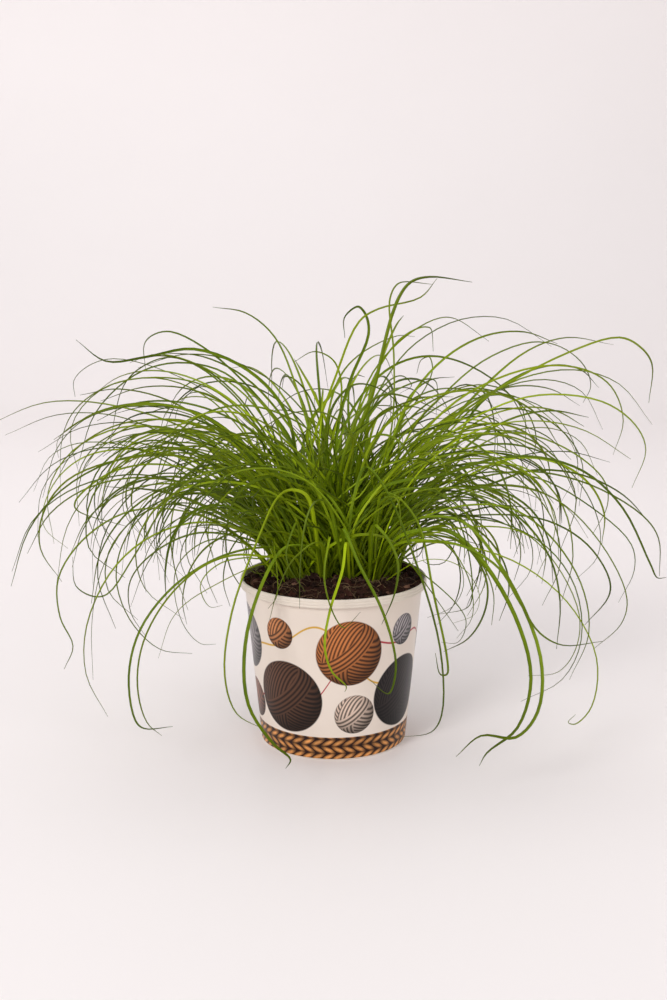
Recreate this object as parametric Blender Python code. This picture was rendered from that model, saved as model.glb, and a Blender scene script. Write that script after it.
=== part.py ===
"""Potted cat grass: a tapered plastic pot filled with soil, and tufts of long arching blades.

Metres, +Z up. The origin is the centre of the pot's base, on its axis, and -Y is the front.
"""

import math
from dataclasses import dataclass

import bmesh
import bpy
import numpy as np

MM = 0.001
CM = 0.01

# Pot
POT_HEIGHT = 117 * MM
POT_RIM_RADIUS = 65 * MM
POT_FOOT_RADIUS = 51.2 * MM
POT_WALL = 1.5 * MM
POT_SIDES = 36
RIM_BAND_HEIGHT = 6 * MM
RIM_BAND_STEP = 3 * MM
EDGE_ROUNDING = 0.7 * MM
MERGE = 0.001 * MM
HOLE_SIDES = 8
CUT_PAST = 5 * MM
FOOT_RING_WIDTH = 6 * MM
BOSS_RADIUS = 18 * MM
BASE_RECESS = 1.5 * MM
FLOOR_TOP = BASE_RECESS + POT_WALL
WEEP_HOLES = 6
WEEP_HOLE_RADIUS = 1.8 * MM
WEEP_CIRCLE_RADIUS = 31 * MM
SHARP_ANGLE = 35

# Soil
SEAT_GAP = 0.3 * MM
SOIL_BELOW_RIM = 5.3 * MM
SOIL_LEVEL = POT_HEIGHT - SOIL_BELOW_RIM
SOIL_DOME = 7 * MM
SOIL_RINGS = 4
SOIL_SIDES = 24
SOIL_DIP = 2 * MM

# Tufts: how many stand in each row, from the front of the clump to its back
CLUMP_CENTRE = np.array((1 * MM, 15 * MM))
CLUMP_REACH = np.array((38 * MM, 25 * MM))
TUFT_ROWS = (4, 5, 5, 4)
TUFT_PITCH = 17 * MM
ROW_PITCH = 15.5 * MM
TUFT_SHIFT = 0.4 * MM
PLUG_RADIUS = 7 * MM
PLUG_DEPTH = 10 * MM
PLUG_DOME = 1.6 * MM
PLUG_CHAMFER = 0.5 * MM
PLUG_SIDES = HOLE_SIDES
ROOT_DEPTH = 3 * MM
ROOT_CIRCLES = (4.6 * MM, 2.2 * MM)
BLADES_PER_TUFT = 14
MOST_OUTLINE_BLADES = 8

# Blades that follow the rule: each arches from its rise by its bend, and swings aside
ARCH_SHORTEST = 140 * MM
ARCH_SPREAD = 125 * MM
ARCH_SHORTNESS = 1.25
ARCH_WIDTHS = (1.6 * MM, 3 * MM)
ARCH_RISE = (70, 88)
EDGE_LEAN = 24
ARCH_BEND = (75, 190)
ARCH_POWER = (1.3, 2.4)
ARCH_SWING = 60
TUFT_SPREAD = 180
EDGE_SPREAD = 95
BARE_FRONT = 50
BARE_SHARE = 0.9
FRONT_TURN = 60

# Blades
STEM_WIDTH = 1.5 * MM
TIP_WIDTH = 0.9 * MM
BLADE_THICKNESS = 0.9 * MM
TIP_THICKNESS = 0.65 * MM
WIDTH_PLACES = (0, 0.3, 0.65, 1)
NARROWING = 0.85
LEAST_JOINTS = 6
MOST_JOINTS = 10
SPARE_JOINTS = 4
TURN_PER_JOINT = 0.7
TURN_WEIGHT = 1.3
CURVE_STEPS = 16
ARCH_STEPS = 60
SEED = 17

# Clearances that the blades are bent to
BLADE_GAP = 0.35 * MM
POT_CLEARANCE = 1.5 * MM
RIM_WIDTH = 8 * MM
GROUND_CLEARANCE = 5 * MM
CROWN_REACH = 16 * MM
STEM_SLOPE = 1.4
SEARCH_REACH = 4 * MM
SEARCH_EVERY = 8
SETTLING_ROUNDS = 300
PUSH_SHARE = 0.55
ROOT_GRIP = 0.4
LEAST_PUSH = 0.02 * MM

# Colours, linear
POT_COLOUR = (0.80, 0.72, 0.64)
PEAT_COLOUR = (0.045, 0.025, 0.015)
LEAF_COLOUR = (0.10, 0.21, 0.025)

# The outline blades were read by eye in a front view from this point, 0.94 m before the pot.
EYE = np.array((0.0, -0.941, 0.3636))
ROOT_PULL = (0.75, 0.25)
HIDDEN_RUN = 7 * CM
DEPTH_RISE = 1.3
DEPTH_FALL = 2
KNEE_SHARE = np.array((0.22, 0.22, 0.4))

# Each outline blade: depth of its tip behind the pot's axis (cm), greatest width (mm), then the
# places where it is seen to pass on the pot's axis plane, across and up (cm), tip last.
LEFT_BLADES = (
    (-1, 2.2, (-5.6, 18.6), (-10, 21.9), (-14.3, 23.4), (-17.9, 23.95), (-21, 23.5),
     (-23.6, 22.3)),
    (5, 2.8, (-2.2, 20.5), (-4.9, 25.3), (-9.4, 27.45), (-12.9, 26.9), (-15.4, 26.65),
     (-17.4, 28.1)),
    (9, 1.8, (-2.8, 21), (-6.2, 25.2), (-8.7, 27.5), (-11.2, 28.65), (-12.6, 28.1), (-12.9, 27.1),
     (-12.75, 26.1)),
    (4, 2.2, (-4.4, 20), (-7.9, 25.3), (-11.1, 26.9), (-14, 25.4), (-14.7, 23.2), (-15.4, 20.7)),
    (7, 2.2, (-3.8, 21.5), (-6.7, 25.4), (-10.1, 26.5), (-12.9, 26), (-15.8, 23.7), (-17.1, 21.4),
     (-17.6, 19.45)),
    (2, 2.2, (-4.2, 20.4), (-8.4, 24.8), (-12, 25.5), (-15.2, 25), (-17.9, 23), (-18.8, 20.3),
     (-18.9, 16.8)),
    (11, 1.4, (-3.6, 19.5), (-7, 23.4), (-10, 25.3), (-13.4, 26.6), (-15.8, 26.7), (-17.6, 25.4),
     (-17.6, 24.2)),
    (6, 1.8, (-5.2, 19.2), (-8.6, 22.7), (-13.1, 23.65), (-16.9, 22.8), (-18.9, 21.2),
     (-18.9, 20)),
    (9, 1.6, (-4.6, 18.6), (-9, 22.6), (-12.4, 23.5), (-15.4, 23.3), (-17.9, 22), (-19.6, 19.4),
     (-20.1, 17.2)),
    (-3, 3, (-5.2, 16.9), (-9, 19.6), (-12.2, 20.1), (-15.6, 19.6), (-18.6, 18.2), (-20.3, 15.5),
     (-20.3, 13.2), (-19, 11.2)),
    (3, 1.5, (-5.4, 17.2), (-9.8, 19.8), (-14.4, 20.6), (-17.6, 19.8), (-19.7, 17.5),
     (-20.1, 15.2), (-18.5, 13.6)),
    (-5, 2.2, (-5.6, 17.3), (-10, 19.3), (-14.4, 19.3), (-17.3, 17.6), (-17.9, 16.6),
     (-16.8, 15.8), (-14.4, 15.2)),
    (-7, 2.2, (-5.2, 14.4), (-9.9, 16.1), (-13.3, 16.4), (-16.6, 14.9), (-19.1, 11.8), (-19.3, 9),
     (-18.4, 6.5), (-19.1, 4.8)),
    (-6, 3, (-4.9, 14.4), (-8.6, 16.4), (-11, 17.5), (-13.4, 17.8), (-15.8, 18)),
    (-8, 3, (-4.6, 13.6), (-8, 12.9), (-11.4, 10.6), (-13.9, 7), (-14.5, 3.4), (-13.8, 0.5),
     (-11.5, 0.5)),
    (-9, 2.8, (-4.2, 12.9), (-7.8, 12.9), (-11, 10.7), (-13.4, 6.8), (-13.9, 3.2), (-13.2, 0.6),
     (-12.3, -0.2)),
    (1, 2.2, (-5.2, 16.3), (-8.8, 18), (-11.5, 16.7), (-14.1, 12.7), (-16.2, 10.1), (-18, 10.8),
     (-18.2, 13)),
    (-2, 1.8, (-5.4, 15.6), (-9.4, 17.7), (-13, 16.2), (-15.1, 12.6), (-14.6, 9), (-12.3, 6.3),
     (-10, 5.95)),
    (-3, 1.4, (-5.4, 12.9), (-7.9, 12.5), (-9.3, 11), (-8.7, 9.4), (-7.8, 9.5)),
    (0, 1.4, (-4.8, 13.4), (-8.5, 14.2), (-10.9, 12.3), (-10.8, 8.6), (-9.4, 6.7), (-8.3, 6.65)),
    (-6, 1.6, (-4.9, 12.5), (-8.2, 11), (-11.1, 8.9), (-12.4, 5.6)),
    (-4, 2.6, (-5, 13.9), (-9.2, 14.7), (-12.2, 13.5), (-14.2, 11.3), (-14.2, 8.8), (-13.3, 7.3)),
    (10, 1.6, (-3.4, 19), (-6.4, 23.5), (-9, 24.9), (-10.6, 23.4), (-10.9, 21.4)),
    (-1, 2, (-4.8, 17.6), (-7.8, 21.2), (-10.1, 21.9), (-11.6, 19.6), (-12.9, 15.6), (-13, 14.6),
     (-12, 12.9), (-10.4, 11.5)),
    (12, 1.5, (-4, 18.4), (-7.5, 22), (-10.6, 22.3), (-13.6, 21.4), (-15.4, 19.3), (-16.3, 16.6),
     (-15.7, 14.6)),
)
CROWN_BLADES = (
    (2, 2.8, (-1.2, 20), (-0.45, 24.2), (0.6, 27.4), (2.3, 29.8), (4.2, 30.4), (6, 31),
     (6.95, 32.2)),
    (4, 2.4, (0.2, 21.5), (1, 25), (1.9, 27.2), (2.4, 29), (1.7, 30.3), (0.75, 29.6),
     (0.77, 28.2)),
    (1, 3, (1.4, 19.5), (2.3, 23.1), (3.3, 27.8), (4.85, 31.7), (6.2, 32.3), (8.2, 32),
     (9.3, 31.95)),
    (-1, 2.6, (2.9, 18), (4.05, 22.5), (4.1, 27.5), (3.82, 30.8), (4.4, 31.85), (6.6, 31.8)),
    (8, 1.8, (-0.9, 21), (0.7, 26), (2.6, 27.6), (4.6, 28.4), (5.5, 28.3)),
    (6, 1.6, (0.2, 20.5), (0.55, 25), (0, 26.7), (-1.3, 27.3), (-2.65, 26.6)),
    (6, 1.5, (-0.4, 19.5), (-1.1, 23), (-2.4, 25.25), (-3.3, 25.6), (-3.5, 24.8)),
    (9, 1.5, (1.2, 22), (3, 26.4), (6, 29.1), (7.9, 29.6), (10.5, 28)),
    (7, 1.5, (1.4, 21.5), (3.2, 26.4), (5, 28.55), (6.5, 28.9), (6.75, 27.3)),
    (3, 1.8, (2.5, 19), (5.1, 23.2), (6.7, 25.7), (6.5, 26.95), (5.9, 26.7), (5.65, 25.8)),
    (10, 1.4, (1.4, 20.5), (3.1, 24.7), (4.6, 25.65), (5.3, 25), (4.5, 24.45)),
    (4, 2, (0.3, 20), (1.4, 23.5), (4, 26.3), (7, 27), (10.2, 25.8), (12.4, 23.8), (13.8, 21)),
    (2, 2.2, (0.8, 19), (2.6, 23.3), (5, 25), (6.85, 25.35), (7.1, 24.2), (7, 22.8)),
    (-2, 2, (-0.7, 20), (0, 23.6), (1.5, 25.05), (3.6, 24.5), (5, 22.9), (5.8, 21)),
    (-3, 2.8, (0.2, 18.6), (1.4, 22.6), (3.4, 24.4), (6, 23.9), (8.4, 22.8)),
)
RIGHT_BLADES = (
    (3, 2.6, (4.9, 19.2), (9.3, 23.5), (13, 25.8), (17.9, 27.95), (19.7, 28.15), (21.5, 26.7),
     (21.5, 23.8)),
    (8, 2, (3.6, 19.5), (7, 23.8), (10.1, 26.6), (14, 27.95), (16.6, 26.8), (17.5, 25),
     (17, 23.8)),
    (5, 2.6, (4.3, 17.4), (8.2, 22.4), (11.9, 26.5), (15.5, 28.2), (18.95, 27.75)),
    (0, 2.4, (4.2, 19), (8, 23.6), (12, 25.7), (15.5, 26.35), (18.6, 25.2), (19.8, 22.5),
     (19.2, 20.2)),
    (-2, 2.2, (4.7, 18.4), (9, 22.3), (12.4, 24), (16, 24.3), (19.5, 23.3), (21.4, 20.8),
     (20.6, 17.9)),
    (-4, 2.2, (5.2, 16), (9.5, 18.4), (14, 19), (18.6, 17.7), (22.2, 15.1), (22.85, 13),
     (22.8, 11.6)),
    (-6, 3, (5, 16.6), (9, 19.3), (13.4, 20.05), (17.4, 18.9), (20.1, 16.3), (21.9, 12.9),
     (22.6, 11.5), (23.3, 11.5)),
    (-11, 3.4, (4.6, 14.4), (8, 14.8), (10.6, 12.4), (13, 8.2), (14.05, 3.8), (12.9, -0.1),
     (10.75, -1.8), (10.5, -2.5)),
    (-12, 3.4, (4.9, 15.3), (8.4, 15.7), (11.2, 12.9), (14, 7.6), (14.9, 3), (13.3, -0.2),
     (10.4, -0.25), (8.8, -1.8)),
    (-8, 3, (2.2, 19.3), (3.7, 17.6), (5.6, 12.9), (6.9, 8.9), (7.8, 4), (7.4, 0.5), (6.2, -0.25),
     (4.8, -0.3)),
    (-7, 2.4, (3.4, 17.4), (5.2, 16.6), (6.5, 12.9), (7.3, 8.2), (8.1, 4.5), (7.6, 4.4), (7.2, 6)),
    (-4, 2, (4, 14), (6.3, 11.2), (8.8, 7.6)),
    (-2, 1.6, (4.4, 12.8), (7.2, 10.9), (9.3, 8.5), (8.8, 6.8), (7.6, 6.8)),
    (-5, 2.4, (5, 14.4), (8.8, 14), (10.7, 11.2), (10.4, 8.4), (9.1, 6.7), (7.8, 6.1)),
    (-7, 2.2, (3.4, 17), (7, 17.7), (9, 14.8), (9.6, 9.6), (8.9, 9.1), (7.4, 8.85)),
    (-3, 2.2, (5, 13.8), (9.4, 13.7), (13.6, 12.1), (17.4, 8.4), (18.85, 3.8), (17.6, 0.8),
     (16.8, 0.8), (17.3, 1.4)),
    (0, 2.6, (5.2, 14.6), (9.5, 15.8), (14, 15.8), (17.6, 13.9), (19.4, 10.6), (17.7, 8.05)),
    (-2, 2, (5, 15.8), (9.6, 18), (14.6, 17.5), (18.4, 14.2), (20.6, 9.8), (20, 7.7), (18.4, 6.3)),
    (4, 1.8, (5.2, 16.6), (10, 18.9), (14.6, 18.4), (18.5, 16), (20.8, 13.7), (20.9, 11.4),
     (20, 9.7)),
    (6, 1.8, (4.6, 18), (9.4, 20.7), (13.4, 20.7), (16.6, 18.7), (18.5, 15), (18.3, 12.8),
     (17, 11.4)),
    (-7, 1.8, (5, 14), (9.4, 15.1), (13.2, 14.7), (16.2, 11.4), (17.4, 7.6), (16.1, 4.7),
     (13.8, 4.3)),
    (-9, 2.2, (4.9, 15), (9, 16.6), (12.8, 16.2), (16.7, 12.3), (18, 7.6), (16.75, 4)),
    (-10, 2.2, (4.6, 13.9), (8.5, 13.9), (11.8, 11.9), (14, 8), (16, 6.6), (19, 6.85)),
    (10, 1.6, (3.8, 18.6), (7.6, 22.6), (11.4, 24.4), (14.6, 22.9), (16.6, 20.4), (16.9, 17.6)),
    (7, 1.8, (4, 18.2), (8.2, 22.4), (12.6, 23.4), (15.6, 21.9), (17.1, 19.6), (17, 16.6)),
    (2, 2.2, (4.4, 17.6), (8.8, 21.1), (12.6, 21.7), (16, 20.6), (18.7, 18.3), (18.9, 16.4),
     (18, 14.6)),
)
FRONT_BLADES = (
    (-10, 3.2, (-1.9, 17.3), (-3.4, 17.6), (-5.4, 13.8), (-7.1, 9), (-7.7, 4.6), (-6.9, 1.5),
     (-5, 0.3)),
    (-11, 3.4, (-1.7, 13.6), (-3.2, 13.7), (-5.2, 10.4), (-6.3, 5.5), (-5.8, 1.3), (-4.4, -0.7),
     (-3.1, -2), (-3.45, -2.7)),
    (-9, 2.6, (-1.2, 14), (-2.8, 12.8), (-4.1, 10), (-4.5, 8.4)),
    (-9, 2, (-0.3, 14.4), (-0.7, 11.6), (-0.1, 9), (0.7, 7.85), (1.9, 9)),
    (-10, 2.2, (0.9, 14), (0.5, 11.2), (-0.6, 7.6), (-0.3, 4.9), (0.9, 3.5), (0.8, 3.1)),
    (-10, 2.4, (0.7, 15), (1.7, 12.6), (3.3, 9.4), (4.4, 5.2), (3.9, 3), (2.5, 4.1)),
    (-9, 2.8, (2.9, 15.2), (4.4, 13), (4.3, 10.4), (3.4, 8.1)),
    (-7, 1.8, (-2.6, 15.4), (-3.3, 13), (-2.6, 11.4), (-2, 10.5)),
)
OUTLINE_BLADES = LEFT_BLADES + CROWN_BLADES + RIGHT_BLADES + FRONT_BLADES


@dataclass
class Blade:
    """One blade: its tuft, greatest width, the bearing that it leans to and its route, root first."""

    tuft: int
    width: float
    lean: float
    route: np.ndarray = None
    arch: dict = None


def soil_radius(height):
    """Radius of the soil at this height, just clear of the pot's tapered wall."""
    lip = POT_HEIGHT - RIM_BAND_HEIGHT + EDGE_ROUNDING
    foot, neck = POT_FOOT_RADIUS - POT_WALL, POT_RIM_RADIUS - RIM_BAND_STEP - POT_WALL
    wall = foot + (neck - foot) * (height - FLOOR_TOP) / (lip - FLOOR_TOP)
    return wall * math.cos(math.pi / POT_SIDES) - SEAT_GAP


def soil_top(place):
    """Height of the soil at this place: a low dome, highest on the pot's axis."""
    share = math.hypot(*place) / soil_radius(SOIL_LEVEL)
    return SOIL_LEVEL + SOIL_DOME * (1 - share ** 2)


def tuft_places():
    """Centre of each tuft on the soil, row by row, each a little out of line."""
    draw = np.random.default_rng(SEED)
    places = []
    for row, count in enumerate(TUFT_ROWS):
        y = (row - (len(TUFT_ROWS) - 1) / 2) * ROW_PITCH
        for k in range(count):
            x = (k - (count - 1) / 2) * TUFT_PITCH
            places.append(draw.uniform(-TUFT_SHIFT, TUFT_SHIFT, 2) + (x, y))
    return CLUMP_CENTRE + np.array(places)


def seen_at(across, up, depth):
    """The point at this depth that is seen at (across, up) on the pot's axis plane."""
    sight = np.array((across, 0.0, up)) - EYE
    return EYE + sight * ((depth - EYE[1]) / sight[1])


def smooth(points, steps):
    """Catmull-Rom curve through the points, with knots spaced by the root of their distance."""
    points = np.vstack([2 * points[0] - points[1], points, 2 * points[-1] - points[-2]])
    curve = []
    for start in range(len(points) - 3):
        p = points[start:start + 4]
        knots = np.append(0, np.cumsum(np.sqrt(np.linalg.norm(np.diff(p, axis=0), axis=1))))
        t = np.linspace(knots[1], knots[2], steps, endpoint=False)[:, None]
        for level in (1, 2, 3):
            pairs = zip(p[:-1], p[1:], knots[:-level], knots[level:])
            if level == 3:
                pairs = [(p[0], p[1], knots[1], knots[2])]
            p = [(a * (end - t) + b * (t - begin)) / (end - begin) for a, b, begin, end in pairs]
        curve.append(p[0])
    curve.append(points[-2][None])
    return np.vstack(curve)


def turning(ahead):
    """Angle between each direction and the one before it."""
    cosines = (ahead[1:] * ahead[:-1]).sum(axis=1)
    return np.append(0, np.arccos(np.clip(cosines, -1, 1)))


def spaced(path):
    """A few joints along the path, closer together where it turns."""
    run = np.diff(path, axis=0)
    length = np.linalg.norm(run, axis=1)
    turn = turning(run / length[:, None])
    count = int(np.clip(round(SPARE_JOINTS + turn.sum() / TURN_PER_JOINT), LEAST_JOINTS, MOST_JOINTS))
    share = length / length.sum() + TURN_WEIGHT * turn / turn.sum()
    along = np.append(0, np.cumsum(share))
    wanted = np.linspace(0, along[-1], count)
    return np.stack([np.interp(wanted, along, axis) for axis in path.T], axis=1)


def outline_blades(places):
    """The blades that give the plant its outline, each in the nearest tuft that has room."""
    blades = []
    room = np.full(len(places), MOST_OUTLINE_BLADES)
    for tip_depth, width, *seen in OUTLINE_BLADES:
        seen = np.array(seen) * CM
        wanted = CLUMP_CENTRE + np.array(ROOT_PULL) * (seen[0][0], tip_depth * CM)
        tuft = int(np.argmin(np.linalg.norm(places - wanted, axis=1) + (room <= 0)))
        room[tuft] -= 1
        run = HIDDEN_RUN + np.append(0, np.cumsum(np.linalg.norm(np.diff(seen, axis=0), axis=1)))
        share = 1 - (1 - (run / run[-1]) ** DEPTH_RISE) ** DEPTH_FALL
        depths = places[tuft][1] + (tip_depth * CM - places[tuft][1]) * share
        route = np.array([seen_at(x, z, y) for (x, z), y in zip(seen, depths)])
        lean = math.atan2(route[0][1] - places[tuft][1], route[0][0] - places[tuft][0])
        blades.append(Blade(tuft, width * MM, lean, route=route))
    return blades


def rule_blades(places, counts):
    """The rest of each tuft: arching blades turned round it, fewer of them toward the front."""
    draw = np.random.default_rng(SEED)
    blades = []
    for tuft, place in enumerate(places):
        aside = (place - CLUMP_CENTRE) / CLUMP_REACH
        outward = min(1, np.linalg.norm(aside))
        facing = math.atan2(aside[1], aside[0])
        reach = math.radians(TUFT_SPREAD - (TUFT_SPREAD - EDGE_SPREAD) * outward)
        for k in range(counts[tuft]):
            lean = facing + reach * (2 * (k + draw.random()) / counts[tuft] - 1)
            off_front = (lean + 1.5 * math.pi) % (2 * math.pi) - math.pi
            if abs(off_front) < math.radians(BARE_FRONT) and draw.random() < BARE_SHARE:
                lean += math.copysign(math.radians(FRONT_TURN), off_front)
            blade = Blade(tuft, draw.uniform(*ARCH_WIDTHS), lean)
            blade.arch = {
                "length": ARCH_SHORTEST + ARCH_SPREAD * draw.random() ** ARCH_SHORTNESS,
                "rise": math.radians(draw.uniform(*ARCH_RISE) - EDGE_LEAN * outward * draw.random()),
                "bend": math.radians(draw.uniform(*ARCH_BEND)),
                "power": draw.uniform(*ARCH_POWER),
                "swing": math.radians(draw.uniform(-ARCH_SWING, ARCH_SWING)),
            }
            blades.append(blade)
    return blades


def arched(root, lean, length, rise, bend, power, swing):
    """A path whose slope falls from the rise by the bend, slowly and then faster, as it swings."""
    share = (np.arange(ARCH_STEPS) + 0.5) / ARCH_STEPS
    slope = rise - bend * share ** power
    bearing = lean + swing * share ** 2
    level = np.cos(slope)
    ahead = np.stack([level * np.cos(bearing), level * np.sin(bearing), np.sin(slope)], axis=1)
    return np.vstack([root, root + np.cumsum(ahead * length / ARCH_STEPS, axis=0)])


def root_route(blades, places):
    """Roots each tuft's blades round its plug, on the side that they lean to, and routes them."""
    for tuft, (x, y) in enumerate(places):
        own = [blade for blade in blades if blade.tuft == tuft]
        own.sort(key=lambda blade: (blade.lean + math.pi) % (2 * math.pi))
        for rank, blade in enumerate(own):
            bearing = -math.pi + 2 * math.pi * (rank + 0.5) / len(own)
            radius = ROOT_CIRCLES[rank % 2]
            aside = radius * np.array((math.cos(bearing), math.sin(bearing)))
            root = np.array((x + aside[0], y + aside[1], soil_top((x, y)) - ROOT_DEPTH))
            if blade.arch:
                path = arched(root, blade.lean, **blade.arch)
            else:
                knee = root + (blade.route[0] - root) * KNEE_SHARE
                path = smooth(np.vstack([root, knee, blade.route]), CURVE_STEPS)
            blade.route = spaced(path)


def half_widths(width, count):
    """Half the blade's width at each of its joints: a narrow stem, the full width, a fine tip."""
    widths = (STEM_WIDTH, width, NARROWING * width, TIP_WIDTH)
    return np.interp(np.linspace(0, 1, count), WIDTH_PLACES, widths) / 2


def closest(a, b, c, d):
    """Where the segments a-b and c-d come closest: the share along each and the way between."""
    u, v, w = b - a, d - c, a - c
    uu, uv, vv = (u * u).sum(1), (u * v).sum(1), (v * v).sum(1)
    uw, vw = (u * w).sum(1), (v * w).sum(1)
    cross = uu * vv - uv * uv
    s = np.clip((uv * vw - vv * uw) / np.maximum(cross, 1e-18), 0, 1)
    t = np.clip((uv * s + vw) / vv, 0, 1)
    s = np.clip((uv * t - uw) / uu, 0, 1)
    return s, t, (a + u * s[:, None]) - (c + v * t[:, None])


class Settling:
    """The joints of all blades in one array, bent clear of each other, the pot and the ground."""

    def __init__(self, blades, places):
        counts = [len(blade.route) for blade in blades]
        self.blades = blades
        self.starts = np.append(0, np.cumsum(counts))
        self.points = np.vstack([blade.route for blade in blades])
        self.half = np.concatenate([half_widths(blade.width, n) for blade, n in zip(blades, counts)])
        self.owner = np.repeat(np.arange(len(blades)), counts)
        self.tuft = np.array([blade.tuft for blade in blades])[self.owner]
        self.first = np.flatnonzero(self.owner[:-1] == self.owner[1:])
        self.last = self.first + 1
        self.wide = np.maximum(self.half[self.first], self.half[self.last])
        self.loose = np.ones((len(self.points), 1))
        self.loose[self.starts[:-1]] = 0
        levels = [soil_top(place) for place in places]
        self.crowns = np.column_stack([places, levels])[self.tuft[self.first]]

    def near_pairs(self):
        """Pairs of segments of two blades that may touch, except where they leave one plug."""
        begin, end = self.points[self.first], self.points[self.last]
        middle = (begin + end) / 2
        reach = np.linalg.norm(end - begin, axis=1) / 2 + self.wide + SEARCH_REACH
        in_crown = np.linalg.norm(middle - self.crowns, axis=1) < CROWN_REACH
        owner, tuft = self.owner[self.first], self.tuft[self.first]
        pairs = []
        for i in range(len(middle) - 1):
            rest = slice(i + 1, None)
            near = np.linalg.norm(middle[rest] - middle[i], axis=1) < reach[rest] + reach[i]
            one_plug = (tuft[rest] == tuft[i]) & (in_crown[rest] | in_crown[i])
            found = i + 1 + np.flatnonzero(near & (owner[rest] != owner[i]) & ~one_plug)
            pairs.append(np.column_stack([np.full(len(found), i), found]))
        return np.vstack(pairs).T

    def part_blades(self, pairs):
        """Pushes apart the segments that are too close, and returns how many there were."""
        i, j = pairs
        ends = [self.points[index] for index in (self.first[i], self.last[i], self.first[j], self.last[j])]
        s, t, way = closest(*ends)
        gap = np.linalg.norm(way, axis=1)
        short = self.wide[i] + self.wide[j] + BLADE_GAP - gap
        tight = short > 0
        i, j, s, t, way, gap = i[tight], j[tight], s[tight], t[tight], way[tight], gap[tight]
        push = way * ((PUSH_SHARE * short[tight] + LEAST_PUSH) / np.maximum(gap, 1e-9))[:, None]
        moved, weight = np.zeros_like(self.points), np.zeros(len(self.points))
        for segment, along, shift in ((i, s, push), (j, t, -push)):
            rooted = self.loose[self.first[segment], 0] == 0
            lever = np.where(rooted, 1 / np.maximum(along, ROOT_GRIP) ** 2, 1)
            for joint, share in ((self.first[segment], 1 - along), (self.last[segment], along)):
                np.add.at(moved, joint, shift * (share * lever)[:, None])
                np.add.at(weight, joint, share)
        self.points += self.loose * moved / np.maximum(weight, 1)[:, None]
        return len(i)

    def clear_pot(self):
        """Lifts or pushes outward what would touch the pot, and lifts what would reach the ground."""
        for share in (0, 0.25, 0.5, 0.75, 1):
            probe = self.points[self.first] * (1 - share) + self.points[self.last] * share
            radius = np.linalg.norm(probe[:, :2], axis=1)
            below = POT_HEIGHT + POT_CLEARANCE + self.wide - probe[:, 2]
            slope = (POT_RIM_RADIUS - POT_FOOT_RADIUS) / POT_HEIGHT
            wall = POT_FOOT_RADIUS + slope * np.clip(probe[:, 2], 0, POT_HEIGHT)
            inside = wall + POT_CLEARANCE + self.wide - radius
            touching = (below > 0) & (inside > 0) & (radius > POT_RIM_RADIUS - RIM_WIDTH)
            lifted = touching & (below < inside)
            pushed = touching & ~lifted
            move = np.zeros_like(probe)
            move[lifted, 2] = below[lifted]
            move[pushed, :2] = probe[pushed, :2] * (inside / radius)[pushed, None]
            for joint, part in ((self.first, 1 - share), (self.last, share)):
                np.add.at(self.points, joint, self.loose[joint] * move * part)
        self.points[:, 2] = np.maximum(self.points[:, 2], GROUND_CLEARANCE)

    def stand_up(self):
        """Keeps each stem steep enough to leave its plug without touching the soil."""
        root, knee = self.starts[:-1], self.starts[:-1] + 1
        aside = np.linalg.norm(self.points[knee, :2] - self.points[root, :2], axis=1)
        lowest = self.points[root, 2] + STEM_SLOPE * aside + STEM_WIDTH
        self.points[knee, 2] = np.maximum(self.points[knee, 2], lowest)

    def run(self):
        """Repeats the corrections until nothing is too close, then hands the joints back."""
        for turn in range(SETTLING_ROUNDS):
            if turn % SEARCH_EVERY == 0:
                pairs = self.near_pairs()
            tight = self.part_blades(pairs)
            self.clear_pot()
            self.stand_up()
            if not tight:
                break
        for blade, begin, end in zip(self.blades, self.starts[:-1], self.starts[1:]):
            blade.route = self.points[begin:end]


def grow_blades(places):
    """All blades, rooted in their tufts and bent clear of each other."""
    blades = outline_blades(places)
    taken = np.bincount([blade.tuft for blade in blades], minlength=len(places))
    blades += rule_blades(places, np.maximum(BLADES_PER_TUFT - taken, 0))
    root_route(blades, places)
    Settling(blades, places).run()
    return blades


def clear_scene():
    for obj in list(bpy.data.objects):
        bpy.data.objects.remove(obj)


def material(name, colour, roughness):
    made = bpy.data.materials.new(name)
    made.use_nodes = True
    shader = made.node_tree.nodes["Principled BSDF"]
    shader.inputs["Base Color"].default_value = (*colour, 1)
    shader.inputs["Roughness"].default_value = roughness
    shader.inputs["Metallic"].default_value = 0
    made.diffuse_color = (*colour, 1)
    return made


def add_object(name, mesh, surface=None, collection=None):
    obj = bpy.data.objects.new(name, mesh)
    (collection or bpy.context.scene.collection).objects.link(obj)
    if surface:
        mesh.materials.append(surface)
    return obj


def mesh_of(name, points, faces):
    mesh = bpy.data.meshes.new(name)
    mesh.from_pydata([tuple(point) for point in points], [], faces)
    mesh.update()
    return mesh


def add_cutter(name, place, radius, bottom, top, collection):
    """An upright cylinder at the place, from bottom to top, that a hole is cut with."""
    shape = bmesh.new()
    bmesh.ops.create_cone(
        shape, cap_ends=True, segments=HOLE_SIDES, radius1=radius, radius2=radius, depth=top - bottom
    )
    mesh = bpy.data.meshes.new(name)
    shape.to_mesh(mesh)
    shape.free()
    obj = add_object(name, mesh, collection=collection)
    obj.location = (*place, (bottom + top) / 2)
    obj.hide_render = True
    obj.display_type = "WIRE"
    return obj


def combine(obj, operation, tools, solver="EXACT"):
    """Joins or cuts the object with a collection of tools, applies it and removes the tools."""
    boolean = obj.modifiers.new(operation.lower(), "BOOLEAN")
    boolean.operation = operation
    boolean.operand_type = "COLLECTION"
    boolean.collection = tools
    boolean.solver = solver
    bpy.context.view_layer.update()
    graph = bpy.context.evaluated_depsgraph_get()
    result = bpy.data.meshes.new_from_object(obj.evaluated_get(graph))
    obj.modifiers.clear()
    obj.data = result
    for tool in list(tools.objects):
        bpy.data.objects.remove(tool)
    bpy.data.collections.remove(tools)


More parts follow.
